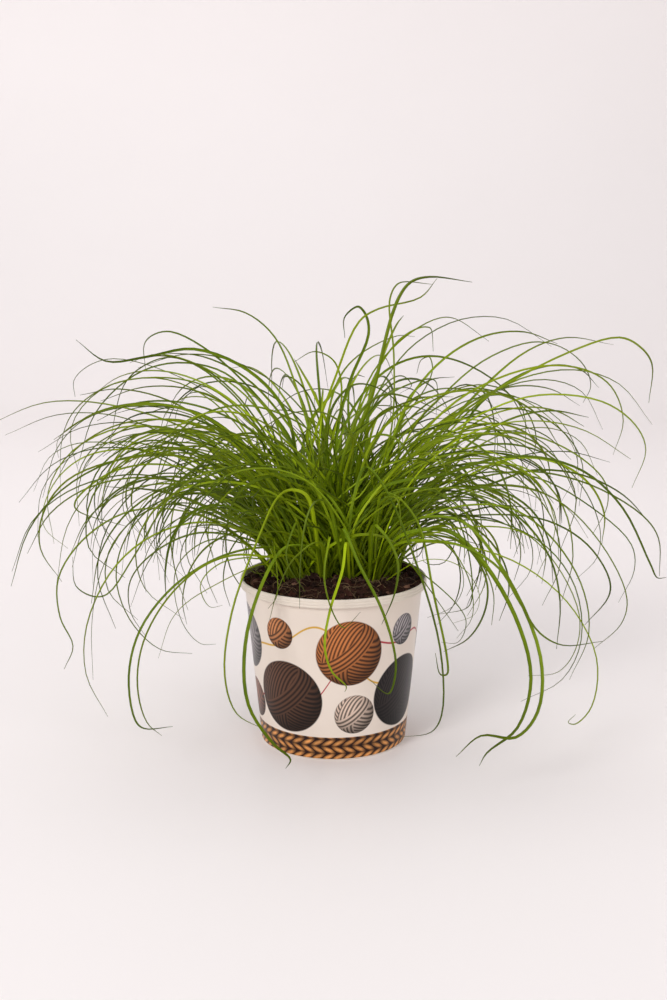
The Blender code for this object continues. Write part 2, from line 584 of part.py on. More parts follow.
def tool_collection(name):
    made = bpy.data.collections.new(name)
    bpy.context.scene.collection.children.link(made)
    return made


def pot_profile():
    """Half section of the pot: from the middle of its floor up the inside, over the rim and down."""
    band_foot = POT_HEIGHT - RIM_BAND_HEIGHT
    neck = POT_RIM_RADIUS - RIM_BAND_STEP
    recess_edge = POT_FOOT_RADIUS - FOOT_RING_WIDTH
    return (
        (0, FLOOR_TOP),
        (POT_FOOT_RADIUS - POT_WALL, FLOOR_TOP),
        (neck - POT_WALL, band_foot + EDGE_ROUNDING),
        (POT_RIM_RADIUS - POT_WALL, band_foot + EDGE_ROUNDING + POT_WALL),
        (POT_RIM_RADIUS - POT_WALL, POT_HEIGHT - EDGE_ROUNDING / 2),
        (POT_RIM_RADIUS - POT_WALL / 2, POT_HEIGHT),
        (POT_RIM_RADIUS, POT_HEIGHT - EDGE_ROUNDING),
        (POT_RIM_RADIUS, band_foot),
        (neck, band_foot - EDGE_ROUNDING / 2),
        (POT_FOOT_RADIUS, EDGE_ROUNDING),
        (POT_FOOT_RADIUS - EDGE_ROUNDING, 0),
        (recess_edge, 0),
        (recess_edge - EDGE_ROUNDING, BASE_RECESS),
        (BOSS_RADIUS + EDGE_ROUNDING, BASE_RECESS),
        (BOSS_RADIUS, 0),
        (0, 0),
    )


def turned_mesh(name, profile, sides):
    """Closed mesh turned from a half section whose two ends lie on the Z axis."""
    shape = bmesh.new()
    corners = [shape.verts.new((radius, 0, height)) for radius, height in profile]
    edges = [shape.edges.new(pair) for pair in zip(corners[:-1], corners[1:])]
    bmesh.ops.spin(
        shape, geom=corners + edges, cent=(0, 0, 0), axis=(0, 0, 1), angle=2 * math.pi, steps=sides
    )
    bmesh.ops.remove_doubles(shape, verts=shape.verts, dist=MERGE)
    bmesh.ops.recalc_face_normals(shape, faces=shape.faces)
    mesh = bpy.data.meshes.new(name)
    shape.to_mesh(mesh)
    shape.free()
    return mesh


def add_pot():
    mesh = turned_mesh("pot", pot_profile(), POT_SIDES)
    pot = add_object("pot", mesh, material("pot_plastic", POT_COLOUR, 0.45))
    holes = tool_collection("weep_holes")
    for k in range(WEEP_HOLES):
        bearing = 2 * math.pi * (k + 0.5) / WEEP_HOLES
        place = (WEEP_CIRCLE_RADIUS * math.cos(bearing), WEEP_CIRCLE_RADIUS * math.sin(bearing))
        add_cutter(f"weep_hole_{k}", place, WEEP_HOLE_RADIUS, -CUT_PAST, FLOOR_TOP + CUT_PAST, holes)
    combine(pot, "DIFFERENCE", holes)
    pot.data.shade_smooth()
    pot.data.set_sharp_from_angle(angle=math.radians(SHARP_ANGLE))


def add_soil(places):
    """Soil filling the pot, with an uneven top and a plain blind hole for each tuft's plug."""
    draw = np.random.default_rng(SEED)
    bottom, edge = FLOOR_TOP + SEAT_GAP, soil_radius(SOIL_LEVEL)
    rings = [(soil_radius(bottom), bottom)]
    for k in range(SOIL_RINGS, 0, -1):
        radius = edge * k / SOIL_RINGS
        rings.append((radius, soil_top((radius, 0))))
    points = []
    for number, (radius, height) in enumerate(rings):
        for k in range(SOIL_SIDES):
            bearing = 2 * math.pi * k / SOIL_SIDES
            dip = draw.uniform(0, SOIL_DIP) if number > 1 else 0
            points.append((radius * math.cos(bearing), radius * math.sin(bearing), height - dip))
    points += [(0, 0, bottom), (0, 0, soil_top((0, 0)) - SOIL_DIP)]
    under, over = len(points) - 2, len(points) - 1
    faces = []
    for k in range(SOIL_SIDES):
        ahead = (k + 1) % SOIL_SIDES
        faces.append((under, ahead, k))
        for ring in range(len(rings) - 1):
            a, b = ring * SOIL_SIDES + k, ring * SOIL_SIDES + ahead
            faces += [(a, b, b + SOIL_SIDES), (a, b + SOIL_SIDES, a + SOIL_SIDES)]
        innermost = (len(rings) - 1) * SOIL_SIDES
        faces.append((innermost + k, innermost + ahead, over))
    peat = material("peat", PEAT_COLOUR, 0.95)
    soil = add_object("soil", mesh_of("soil", points, faces), peat)
    holes = tool_collection("plug_holes")
    for number, place in enumerate(places):
        level = soil_top(place)
        foot, radius = level - PLUG_DEPTH - SEAT_GAP, PLUG_RADIUS + SEAT_GAP
        add_cutter(f"plug_hole_{number}", place, radius, foot, level + CUT_PAST, holes)
    combine(soil, "DIFFERENCE", holes)


def plug_mesh(place):
    """The short root plug of a tuft: a disc in the soil with a low domed top."""
    x, y = place
    level = soil_top(place)
    foot = level - PLUG_DEPTH
    rings = (
        (PLUG_RADIUS - PLUG_CHAMFER, foot),
        (PLUG_RADIUS, foot + PLUG_CHAMFER),
        (PLUG_RADIUS, level),
        (PLUG_RADIUS - 2 * PLUG_DOME, level + PLUG_DOME),
    )
    points = []
    for radius, height in rings:
        for k in range(PLUG_SIDES):
            bearing = 2 * math.pi * k / PLUG_SIDES
            points.append((x + radius * math.cos(bearing), y + radius * math.sin(bearing), height))
    last = (len(rings) - 1) * PLUG_SIDES
    faces = [tuple(range(PLUG_SIDES))[::-1], tuple(range(last, last + PLUG_SIDES))]
    for ring in range(len(rings) - 1):
        for k in range(PLUG_SIDES):
            a, b = ring * PLUG_SIDES + k, ring * PLUG_SIDES + (k + 1) % PLUG_SIDES
            faces.append((a, b, b + PLUG_SIDES, a + PLUG_SIDES))
    return mesh_of("plug", points, faces)


def blade_frames(route, lean):
    """Direction, sideways and outward vectors at each joint, carried along without twisting."""
    run = np.diff(route, axis=0)
    run /= np.linalg.norm(run, axis=1)[:, None]
    ahead = np.vstack([run[:1], run[1:] + run[:-1], run[-1:]])
    ahead /= np.linalg.norm(ahead, axis=1)[:, None]
    side = np.array((-math.sin(lean), math.cos(lean), 0))
    sides = []
    for way in ahead:
        side = side - way * side.dot(way)
        side /= np.linalg.norm(side)
        sides.append(side)
    sides = np.array(sides)
    return sides, np.cross(sides, ahead)


def blade_mesh(blade):
    """Three-sided blade along its route: a flat face outward and a low keel behind."""
    sides, faces_out = blade_frames(blade.route, blade.lean)
    count = len(blade.route)
    half = half_widths(blade.width, count)[:, None]
    thick = np.linspace(BLADE_THICKNESS, TIP_THICKNESS, count)[:, None]
    corners = np.stack([
        blade.route + sides * half + faces_out * thick / 3,
        blade.route - sides * half + faces_out * thick / 3,
        blade.route - faces_out * thick * 2 / 3,
    ], axis=1).reshape(-1, 3)
    faces = [(0, 1, 2), (3 * count - 1, 3 * count - 2, 3 * count - 3)]
    for ring in range(0, 3 * count - 3, 3):
        for k in range(3):
            a, b = ring + k, ring + (k + 1) % 3
            faces += [(a, a + 3, b), (b, a + 3, b + 3)]
    return mesh_of("blade", corners, faces)


def add_tuft(number, place, blades, surface):
    """One tuft: its blades joined to its plug in one closed solid."""
    tuft = add_object(f"tuft_{number:02d}", plug_mesh(place), surface)
    tools = tool_collection("blades")
    for blade in blades:
        add_object("blade", blade_mesh(blade), collection=tools)
    combine(tuft, "UNION", tools, "MANIFOLD")
    return tuft


def main():
    clear_scene()
    places = tuft_places()
    add_pot()
    add_soil(places)
    blades = grow_blades(places)
    for tuft, place in enumerate(places):
        leaf = material(f"leaf_{tuft + 1:02d}", LEAF_COLOUR, 0.5)
        add_tuft(tuft + 1, place, [blade for blade in blades if blade.tuft == tuft], leaf)


main()
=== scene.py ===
"""Looks of the potted cat grass: fine blades, peat, a printed pot, and a plain pale studio.

Metres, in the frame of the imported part: the origin is the centre of the pot's base and -Y is the
front. The blades grow by the part's own rule, so each fine blade lies along its solid.
"""

import math
from dataclasses import dataclass

import bmesh
import bpy
import numpy as np
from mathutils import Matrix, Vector, noise

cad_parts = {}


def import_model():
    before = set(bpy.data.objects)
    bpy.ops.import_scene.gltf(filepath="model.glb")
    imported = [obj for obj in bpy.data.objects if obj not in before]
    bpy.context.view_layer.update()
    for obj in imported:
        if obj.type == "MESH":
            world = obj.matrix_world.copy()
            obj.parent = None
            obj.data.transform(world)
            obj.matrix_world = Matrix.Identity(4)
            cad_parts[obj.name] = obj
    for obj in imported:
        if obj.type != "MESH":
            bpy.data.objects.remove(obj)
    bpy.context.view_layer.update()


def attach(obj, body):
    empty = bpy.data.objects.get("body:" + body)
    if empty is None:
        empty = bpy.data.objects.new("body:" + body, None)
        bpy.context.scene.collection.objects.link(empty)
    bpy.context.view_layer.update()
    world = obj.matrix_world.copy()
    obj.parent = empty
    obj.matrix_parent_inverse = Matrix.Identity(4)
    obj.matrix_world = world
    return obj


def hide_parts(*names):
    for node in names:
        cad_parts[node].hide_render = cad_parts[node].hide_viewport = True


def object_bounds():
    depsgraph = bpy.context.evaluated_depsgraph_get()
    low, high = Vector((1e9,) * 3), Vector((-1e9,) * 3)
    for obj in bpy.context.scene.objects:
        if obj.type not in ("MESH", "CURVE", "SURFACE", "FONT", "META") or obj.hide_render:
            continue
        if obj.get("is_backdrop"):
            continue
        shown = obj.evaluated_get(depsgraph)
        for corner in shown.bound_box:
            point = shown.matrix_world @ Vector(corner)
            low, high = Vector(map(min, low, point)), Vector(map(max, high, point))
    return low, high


MM = 0.001
CM = 0.01

# Pot
POT_HEIGHT = 117 * MM
POT_RIM_RADIUS = 65 * MM
POT_FOOT_RADIUS = 51.2 * MM
POT_WALL = 1.5 * MM
POT_SIDES = 36
RIM_BAND_HEIGHT = 6 * MM
RIM_BAND_STEP = 3 * MM
EDGE_ROUNDING = 0.7 * MM
MERGE = 0.001 * MM
HOLE_SIDES = 8
CUT_PAST = 5 * MM
FOOT_RING_WIDTH = 6 * MM
BOSS_RADIUS = 18 * MM
BASE_RECESS = 1.5 * MM
FLOOR_TOP = BASE_RECESS + POT_WALL
WEEP_HOLES = 6
WEEP_HOLE_RADIUS = 1.8 * MM
WEEP_CIRCLE_RADIUS = 31 * MM
SHARP_ANGLE = 35

# Soil
SEAT_GAP = 0.3 * MM
SOIL_BELOW_RIM = 5.3 * MM
SOIL_LEVEL = POT_HEIGHT - SOIL_BELOW_RIM
SOIL_DOME = 7 * MM

# Tufts. Their rows are counted from the front of the clump to its back.
CLUMP_CENTRE = np.array((1 * MM, 15 * MM))
CLUMP_REACH = np.array((38 * MM, 25 * MM))
TUFT_ROWS = (4, 5, 5, 4)
TUFT_PITCH = 17 * MM
ROW_PITCH = 15.5 * MM
TUFT_SHIFT = 0.4 * MM
ROOT_DEPTH = 3 * MM
ROOT_CIRCLES = (4.6 * MM, 2.2 * MM)
BLADES_PER_TUFT = 14
MOST_OUTLINE_BLADES = 8

# Blades that follow the rule: each arches from its rise by its bend, and swings aside (degrees)
ARCH_SHORTEST = 140 * MM
ARCH_SPREAD = 125 * MM
ARCH_SHORTNESS = 1.25
ARCH_WIDTHS = (1.6 * MM, 3 * MM)
ARCH_RISE = (70, 88)
EDGE_LEAN = 24
ARCH_BEND = (75, 190)
ARCH_POWER = (1.3, 2.4)
ARCH_SWING = 60
TUFT_SPREAD = 180
EDGE_SPREAD = 95
BARE_FRONT = 50
BARE_SHARE = 0.9
FRONT_TURN = 60

# Blades
STEM_WIDTH = 1.5 * MM
TIP_WIDTH = 0.9 * MM
WIDTH_PLACES = (0, 0.3, 0.65, 1)
NARROWING = 0.85
LEAST_JOINTS = 6
MOST_JOINTS = 10
SPARE_JOINTS = 4
TURN_PER_JOINT = 0.7
TURN_WEIGHT = 1.3
CURVE_STEPS = 16
ARCH_STEPS = 60
SEED = 17

# Clearances that the blades are bent to
BLADE_GAP = 0.35 * MM
POT_CLEARANCE = 1.5 * MM
RIM_WIDTH = 8 * MM
GROUND_CLEARANCE = 5 * MM
CROWN_REACH = 16 * MM
STEM_SLOPE = 1.4
SEARCH_REACH = 4 * MM
SEARCH_EVERY = 8
SETTLING_ROUNDS = 300
PUSH_SHARE = 0.55
ROOT_GRIP = 0.4
LEAST_PUSH = 0.02 * MM
SEGMENT_PROBES = (0, 0.25, 0.5, 0.75, 1)

# Least divisors, so that parallel or touching segments don't divide by zero
LEAST_CROSS = 1e-18
LEAST_GAP = 1e-9

# The outline blades were read in a front view from this point, 0.94 m before the pot.
EYE = np.array((0.0, -0.941, 0.3636))
ROOT_PULL = (0.75, 0.25)
HIDDEN_RUN = 7 * CM
DEPTH_RISE = 1.3
DEPTH_FALL = 2
KNEE_SHARE = np.array((0.22, 0.22, 0.4))

# Each outline blade: depth of its tip behind the pot's axis (cm), greatest width (mm), then the
# places where it is seen to pass on the pot's axis plane, across and up (cm), tip last.
LEFT_BLADES = (
    (-1, 2.2, (-5.6, 18.6), (-10, 21.9), (-14.3, 23.4), (-17.9, 23.95), (-21, 23.5), (-23.6, 22.3)),
    (5, 2.8, (-2.2, 20.5), (-4.9, 25.3), (-9.4, 27.45), (-12.9, 26.9), (-15.4, 26.65), (-17.4, 28.1)),
    (9, 1.8, (-2.8, 21), (-6.2, 25.2), (-8.7, 27.5), (-11.2, 28.65), (-12.6, 28.1), (-12.9, 27.1),
     (-12.75, 26.1)),
    (4, 2.2, (-4.4, 20), (-7.9, 25.3), (-11.1, 26.9), (-14, 25.4), (-14.7, 23.2), (-15.4, 20.7)),
    (7, 2.2, (-3.8, 21.5), (-6.7, 25.4), (-10.1, 26.5), (-12.9, 26), (-15.8, 23.7), (-17.1, 21.4),
     (-17.6, 19.45)),
    (2, 2.2, (-4.2, 20.4), (-8.4, 24.8), (-12, 25.5), (-15.2, 25), (-17.9, 23), (-18.8, 20.3),
     (-18.9, 16.8)),
    (11, 1.4, (-3.6, 19.5), (-7, 23.4), (-10, 25.3), (-13.4, 26.6), (-15.8, 26.7), (-17.6, 25.4),
     (-17.6, 24.2)),
    (6, 1.8, (-5.2, 19.2), (-8.6, 22.7), (-13.1, 23.65), (-16.9, 22.8), (-18.9, 21.2), (-18.9, 20)),
    (9, 1.6, (-4.6, 18.6), (-9, 22.6), (-12.4, 23.5), (-15.4, 23.3), (-17.9, 22), (-19.6, 19.4),
     (-20.1, 17.2)),
    (-3, 3, (-5.2, 16.9), (-9, 19.6), (-12.2, 20.1), (-15.6, 19.6), (-18.6, 18.2), (-20.3, 15.5),
     (-20.3, 13.2), (-19, 11.2)),
    (3, 1.5, (-5.4, 17.2), (-9.8, 19.8), (-14.4, 20.6), (-17.6, 19.8), (-19.7, 17.5), (-20.1, 15.2),
     (-18.5, 13.6)),
    (-5, 2.2, (-5.6, 17.3), (-10, 19.3), (-14.4, 19.3), (-17.3, 17.6), (-17.9, 16.6), (-16.8, 15.8),
     (-14.4, 15.2)),
    (-7, 2.2, (-5.2, 14.4), (-9.9, 16.1), (-13.3, 16.4), (-16.6, 14.9), (-19.1, 11.8), (-19.3, 9),
     (-18.4, 6.5), (-19.1, 4.8)),
    (-6, 3, (-4.9, 14.4), (-8.6, 16.4), (-11, 17.5), (-13.4, 17.8), (-15.8, 18)),
    (-8, 3, (-4.6, 13.6), (-8, 12.9), (-11.4, 10.6), (-13.9, 7), (-14.5, 3.4), (-13.8, 0.5), (-11.5, 0.5)),
    (-9, 2.8, (-4.2, 12.9), (-7.8, 12.9), (-11, 10.7), (-13.4, 6.8), (-13.9, 3.2), (-13.2, 0.6),
     (-12.3, -0.2)),
    (1, 2.2, (-5.2, 16.3), (-8.8, 18), (-11.5, 16.7), (-14.1, 12.7), (-16.2, 10.1), (-18, 10.8),
     (-18.2, 13)),
    (-2, 1.8, (-5.4, 15.6), (-9.4, 17.7), (-13, 16.2), (-15.1, 12.6), (-14.6, 9), (-12.3, 6.3),
     (-10, 5.95)),
    (-3, 1.4, (-5.4, 12.9), (-7.9, 12.5), (-9.3, 11), (-8.7, 9.4), (-7.8, 9.5)),
    (0, 1.4, (-4.8, 13.4), (-8.5, 14.2), (-10.9, 12.3), (-10.8, 8.6), (-9.4, 6.7), (-8.3, 6.65)),
    (-6, 1.6, (-4.9, 12.5), (-8.2, 11), (-11.1, 8.9), (-12.4, 5.6)),
    (-4, 2.6, (-5, 13.9), (-9.2, 14.7), (-12.2, 13.5), (-14.2, 11.3), (-14.2, 8.8), (-13.3, 7.3)),
    (10, 1.6, (-3.4, 19), (-6.4, 23.5), (-9, 24.9), (-10.6, 23.4), (-10.9, 21.4)),
    (-1, 2, (-4.8, 17.6), (-7.8, 21.2), (-10.1, 21.9), (-11.6, 19.6), (-12.9, 15.6), (-13, 14.6),
     (-12, 12.9), (-10.4, 11.5)),
    (12, 1.5, (-4, 18.4), (-7.5, 22), (-10.6, 22.3), (-13.6, 21.4), (-15.4, 19.3), (-16.3, 16.6),
     (-15.7, 14.6)),
)
CROWN_BLADES = (
    (2, 2.8, (-1.2, 20), (-0.45, 24.2), (0.6, 27.4), (2.3, 29.8), (4.2, 30.4), (6, 31), (6.95, 32.2)),
    (4, 2.4, (0.2, 21.5), (1, 25), (1.9, 27.2), (2.4, 29), (1.7, 30.3), (0.75, 29.6), (0.77, 28.2)),
    (1, 3, (1.4, 19.5), (2.3, 23.1), (3.3, 27.8), (4.85, 31.7), (6.2, 32.3), (8.2, 32), (9.3, 31.95)),
    (-1, 2.6, (2.9, 18), (4.05, 22.5), (4.1, 27.5), (3.82, 30.8), (4.4, 31.85), (6.6, 31.8)),
    (8, 1.8, (-0.9, 21), (0.7, 26), (2.6, 27.6), (4.6, 28.4), (5.5, 28.3)),
    (6, 1.6, (0.2, 20.5), (0.55, 25), (0, 26.7), (-1.3, 27.3), (-2.65, 26.6)),
    (6, 1.5, (-0.4, 19.5), (-1.1, 23), (-2.4, 25.25), (-3.3, 25.6), (-3.5, 24.8)),
    (9, 1.5, (1.2, 22), (3, 26.4), (6, 29.1), (7.9, 29.6), (10.5, 28)),
    (7, 1.5, (1.4, 21.5), (3.2, 26.4), (5, 28.55), (6.5, 28.9), (6.75, 27.3)),
    (3, 1.8, (2.5, 19), (5.1, 23.2), (6.7, 25.7), (6.5, 26.95), (5.9, 26.7), (5.65, 25.8)),
    (10, 1.4, (1.4, 20.5), (3.1, 24.7), (4.6, 25.65), (5.3, 25), (4.5, 24.45)),
    (4, 2, (0.3, 20), (1.4, 23.5), (4, 26.3), (7, 27), (10.2, 25.8), (12.4, 23.8), (13.8, 21)),
    (2, 2.2, (0.8, 19), (2.6, 23.3), (5, 25), (6.85, 25.35), (7.1, 24.2), (7, 22.8)),
    (-2, 2, (-0.7, 20), (0, 23.6), (1.5, 25.05), (3.6, 24.5), (5, 22.9), (5.8, 21)),
    (-3, 2.8, (0.2, 18.6), (1.4, 22.6), (3.4, 24.4), (6, 23.9), (8.4, 22.8)),
)
RIGHT_BLADES = (
    (3, 2.6, (4.9, 19.2), (9.3, 23.5), (13, 25.8), (17.9, 27.95), (19.7, 28.15), (21.5, 26.7),
     (21.5, 23.8)),
    (8, 2, (3.6, 19.5), (7, 23.8), (10.1, 26.6), (14, 27.95), (16.6, 26.8), (17.5, 25), (17, 23.8)),
    (5, 2.6, (4.3, 17.4), (8.2, 22.4), (11.9, 26.5), (15.5, 28.2), (18.95, 27.75)),
    (0, 2.4, (4.2, 19), (8, 23.6), (12, 25.7), (15.5, 26.35), (18.6, 25.2), (19.8, 22.5), (19.2, 20.2)),
    (-2, 2.2, (4.7, 18.4), (9, 22.3), (12.4, 24), (16, 24.3), (19.5, 23.3), (21.4, 20.8), (20.6, 17.9)),
    (-4, 2.2, (5.2, 16), (9.5, 18.4), (14, 19), (18.6, 17.7), (22.2, 15.1), (22.85, 13), (22.8, 11.6)),
    (-6, 3, (5, 16.6), (9, 19.3), (13.4, 20.05), (17.4, 18.9), (20.1, 16.3), (21.9, 12.9), (22.6, 11.5),
     (23.3, 11.5)),
    (-11, 3.4, (4.6, 14.4), (8, 14.8), (10.6, 12.4), (13, 8.2), (14.05, 3.8), (12.9, -0.1), (10.75, -1.8),
     (10.5, -2.5)),
    (-12, 3.4, (4.9, 15.3), (8.4, 15.7), (11.2, 12.9), (14, 7.6), (14.9, 3), (13.3, -0.2), (10.4, -0.25),
     (8.8, -1.8)),
    (-8, 3, (2.2, 19.3), (3.7, 17.6), (5.6, 12.9), (6.9, 8.9), (7.8, 4), (7.4, 0.5), (6.2, -0.25),
     (4.8, -0.3)),
    (-7, 2.4, (3.4, 17.4), (5.2, 16.6), (6.5, 12.9), (7.3, 8.2), (8.1, 4.5), (7.6, 4.4), (7.2, 6)),
    (-4, 2, (4, 14), (6.3, 11.2), (8.8, 7.6)),
    (-2, 1.6, (4.4, 12.8), (7.2, 10.9), (9.3, 8.5), (8.8, 6.8), (7.6, 6.8)),
    (-5, 2.4, (5, 14.4), (8.8, 14), (10.7, 11.2), (10.4, 8.4), (9.1, 6.7), (7.8, 6.1)),
    (-7, 2.2, (3.4, 17), (7, 17.7), (9, 14.8), (9.6, 9.6), (8.9, 9.1), (7.4, 8.85)),
    (-3, 2.2, (5, 13.8), (9.4, 13.7), (13.6, 12.1), (17.4, 8.4), (18.85, 3.8), (17.6, 0.8), (16.8, 0.8),
     (17.3, 1.4)),
    (0, 2.6, (5.2, 14.6), (9.5, 15.8), (14, 15.8), (17.6, 13.9), (19.4, 10.6), (17.7, 8.05)),
    (-2, 2, (5, 15.8), (9.6, 18), (14.6, 17.5), (18.4, 14.2), (20.6, 9.8), (20, 7.7), (18.4, 6.3)),
    (4, 1.8, (5.2, 16.6), (10, 18.9), (14.6, 18.4), (18.5, 16), (20.8, 13.7), (20.9, 11.4), (20, 9.7)),
    (6, 1.8, (4.6, 18), (9.4, 20.7), (13.4, 20.7), (16.6, 18.7), (18.5, 15), (18.3, 12.8), (17, 11.4)),
    (-7, 1.8, (5, 14), (9.4, 15.1), (13.2, 14.7), (16.2, 11.4), (17.4, 7.6), (16.1, 4.7), (13.8, 4.3)),
    (-9, 2.2, (4.9, 15), (9, 16.6), (12.8, 16.2), (16.7, 12.3), (18, 7.6), (16.75, 4)),
    (-10, 2.2, (4.6, 13.9), (8.5, 13.9), (11.8, 11.9), (14, 8), (16, 6.6), (19, 6.85)),
    (10, 1.6, (3.8, 18.6), (7.6, 22.6), (11.4, 24.4), (14.6, 22.9), (16.6, 20.4), (16.9, 17.6)),
    (7, 1.8, (4, 18.2), (8.2, 22.4), (12.6, 23.4), (15.6, 21.9), (17.1, 19.6), (17, 16.6)),
    (2, 2.2, (4.4, 17.6), (8.8, 21.1), (12.6, 21.7), (16, 20.6), (18.7, 18.3), (18.9, 16.4), (18, 14.6)),
)
FRONT_BLADES = (
    (-10, 3.2, (-1.9, 17.3), (-3.4, 17.6), (-5.4, 13.8), (-7.1, 9), (-7.7, 4.6), (-6.9, 1.5), (-5, 0.3)),
    (-11, 3.4, (-1.7, 13.6), (-3.2, 13.7), (-5.2, 10.4), (-6.3, 5.5), (-5.8, 1.3), (-4.4, -0.7), (-3.1, -2),
     (-3.45, -2.7)),
    (-9, 2.6, (-1.2, 14), (-2.8, 12.8), (-4.1, 10), (-4.5, 8.4)),
    (-9, 2, (-0.3, 14.4), (-0.7, 11.6), (-0.1, 9), (0.7, 7.85), (1.9, 9)),
    (-10, 2.2, (0.9, 14), (0.5, 11.2), (-0.6, 7.6), (-0.3, 4.9), (0.9, 3.5), (0.8, 3.1)),
    (-10, 2.4, (0.7, 15), (1.7, 12.6), (3.3, 9.4), (4.4, 5.2), (3.9, 3), (2.5, 4.1)),
    (-9, 2.8, (2.9, 15.2), (4.4, 13), (4.3, 10.4), (3.4, 8.1)),
    (-7, 1.8, (-2.6, 15.4), (-3.3, 13), (-2.6, 11.4), (-2, 10.5)),
)
OUTLINE_BLADES = LEFT_BLADES + CROWN_BLADES + RIGHT_BLADES + FRONT_BLADES


@dataclass
class Blade:
    """One blade: its tuft, greatest width, bearing of its lean, and route from its root."""

    tuft: int
    width: float
    lean: float
    route: np.ndarray = None
    arch: dict = None


def lengths(vectors):
    """Length of each of the vectors."""
    return np.linalg.norm(vectors, axis=1)


def soil_radius(height):
    """Radius of the soil at this height, just clear of the pot's tapered wall."""
    lip = POT_HEIGHT - RIM_BAND_HEIGHT + EDGE_ROUNDING
    foot, neck = POT_FOOT_RADIUS - POT_WALL, POT_RIM_RADIUS - RIM_BAND_STEP - POT_WALL
    wall = foot + (neck - foot) * (height - FLOOR_TOP) / (lip - FLOOR_TOP)
    return wall * math.cos(math.pi / POT_SIDES) - SEAT_GAP


def soil_top(place):
    """Height of the soil at this place: a low dome, highest on the pot's axis."""
    share = math.hypot(*place) / soil_radius(SOIL_LEVEL)
    return SOIL_LEVEL + SOIL_DOME * (1 - share ** 2)


def tuft_places():
    """Centre of each tuft on the soil, row by row, each a little out of line."""
    draw = np.random.default_rng(SEED)
    places = []
    for row, count in enumerate(TUFT_ROWS):
        y = (row - (len(TUFT_ROWS) - 1) / 2) * ROW_PITCH
        for k in range(count):
            x = (k - (count - 1) / 2) * TUFT_PITCH
            places.append(draw.uniform(-TUFT_SHIFT, TUFT_SHIFT, 2) + (x, y))
    return CLUMP_CENTRE + np.array(places)


def tuft_spread(place):
    """How far out a tuft stands, the bearing that it faces, and how far its blades turn from it."""
    aside = (place - CLUMP_CENTRE) / CLUMP_REACH
    outward = min(1, np.linalg.norm(aside))
    reach = math.radians(TUFT_SPREAD - (TUFT_SPREAD - EDGE_SPREAD) * outward)
    return outward, math.atan2(aside[1], aside[0]), reach


def off_front(lean):
    """Angle from the front to a lean, to either side."""
    return (lean + 1.5 * math.pi) % math.tau - math.pi


def faces_front(lean):
    """Whether a lean is towards the front, where the real clump has few blades."""
    return abs(off_front(lean)) < math.radians(BARE_FRONT)


def wall_radius(height):
    """Outer radius of the pot's tapered wall at this height."""
    slope = (POT_RIM_RADIUS - POT_FOOT_RADIUS) / POT_HEIGHT
    return POT_FOOT_RADIUS + slope * np.clip(height, 0, POT_HEIGHT)


def seen_at(across, up, depth):
    """The point at this depth that is seen at (across, up) on the pot's axis plane."""
    sight = np.array((across, 0.0, up)) - EYE
    return EYE + sight * ((depth - EYE[1]) / sight[1])


def smooth(points, steps):
    """Catmull-Rom curve through the points, with knots spaced by the root of their distance."""
    points = np.vstack([2 * points[0] - points[1], points, 2 * points[-1] - points[-2]])
    curve = []
    for start in range(len(points) - 3):
        p = points[start:start + 4]
        knots = np.append(0, np.cumsum(np.sqrt(lengths(np.diff(p, axis=0)))))
        t = np.linspace(knots[1], knots[2], steps, endpoint=False)[:, None]
        for level in (1, 2, 3):
            pairs = zip(p[:-1], p[1:], knots[:-level], knots[level:])
            if level == 3:
                pairs = [(p[0], p[1], knots[1], knots[2])]
            p = [(a * (end - t) + b * (t - begin)) / (end - begin) for a, b, begin, end in pairs]
        curve.append(p[0])
    curve.append(points[-2][None])
    return np.vstack(curve)


def turning(ahead):
    """Angle between each direction and the one before it."""
    cosines = (ahead[1:] * ahead[:-1]).sum(axis=1)
    return np.append(0, np.arccos(np.clip(cosines, -1, 1)))


def spaced(path):
    """A few joints along the path, closer together where it turns."""
    run = np.diff(path, axis=0)
    length = lengths(run)
    turn = turning(run / length[:, None])
    wanted = round(SPARE_JOINTS + turn.sum() / TURN_PER_JOINT)
    count = int(np.clip(wanted, LEAST_JOINTS, MOST_JOINTS))
    share = length / length.sum() + TURN_WEIGHT * turn / turn.sum()
    along = np.append(0, np.cumsum(share))
    places = np.linspace(0, along[-1], count)
    return np.stack([np.interp(places, along, axis) for axis in path.T], axis=1)


def outline_blades(places):
    """The blades that give the plant its outline, each in the nearest tuft that has room."""
    blades = []
    room = np.full(len(places), MOST_OUTLINE_BLADES)
    for tip_depth, width, *seen in OUTLINE_BLADES:
        seen = np.array(seen) * CM
        wanted = CLUMP_CENTRE + np.array(ROOT_PULL) * (seen[0][0], tip_depth * CM)
        tuft = int(np.argmin(lengths(places - wanted) + (room <= 0)))
        room[tuft] -= 1
        run = HIDDEN_RUN + np.append(0, np.cumsum(lengths(np.diff(seen, axis=0))))
        share = 1 - (1 - (run / run[-1]) ** DEPTH_RISE) ** DEPTH_FALL
        depths = places[tuft][1] + (tip_depth * CM - places[tuft][1]) * share
        route = np.array([seen_at(x, z, y) for (x, z), y in zip(seen, depths)])
        lean = math.atan2(route[0][1] - places[tuft][1], route[0][0] - places[tuft][0])
        blades.append(Blade(tuft, width * MM, lean, route=route))
    return blades


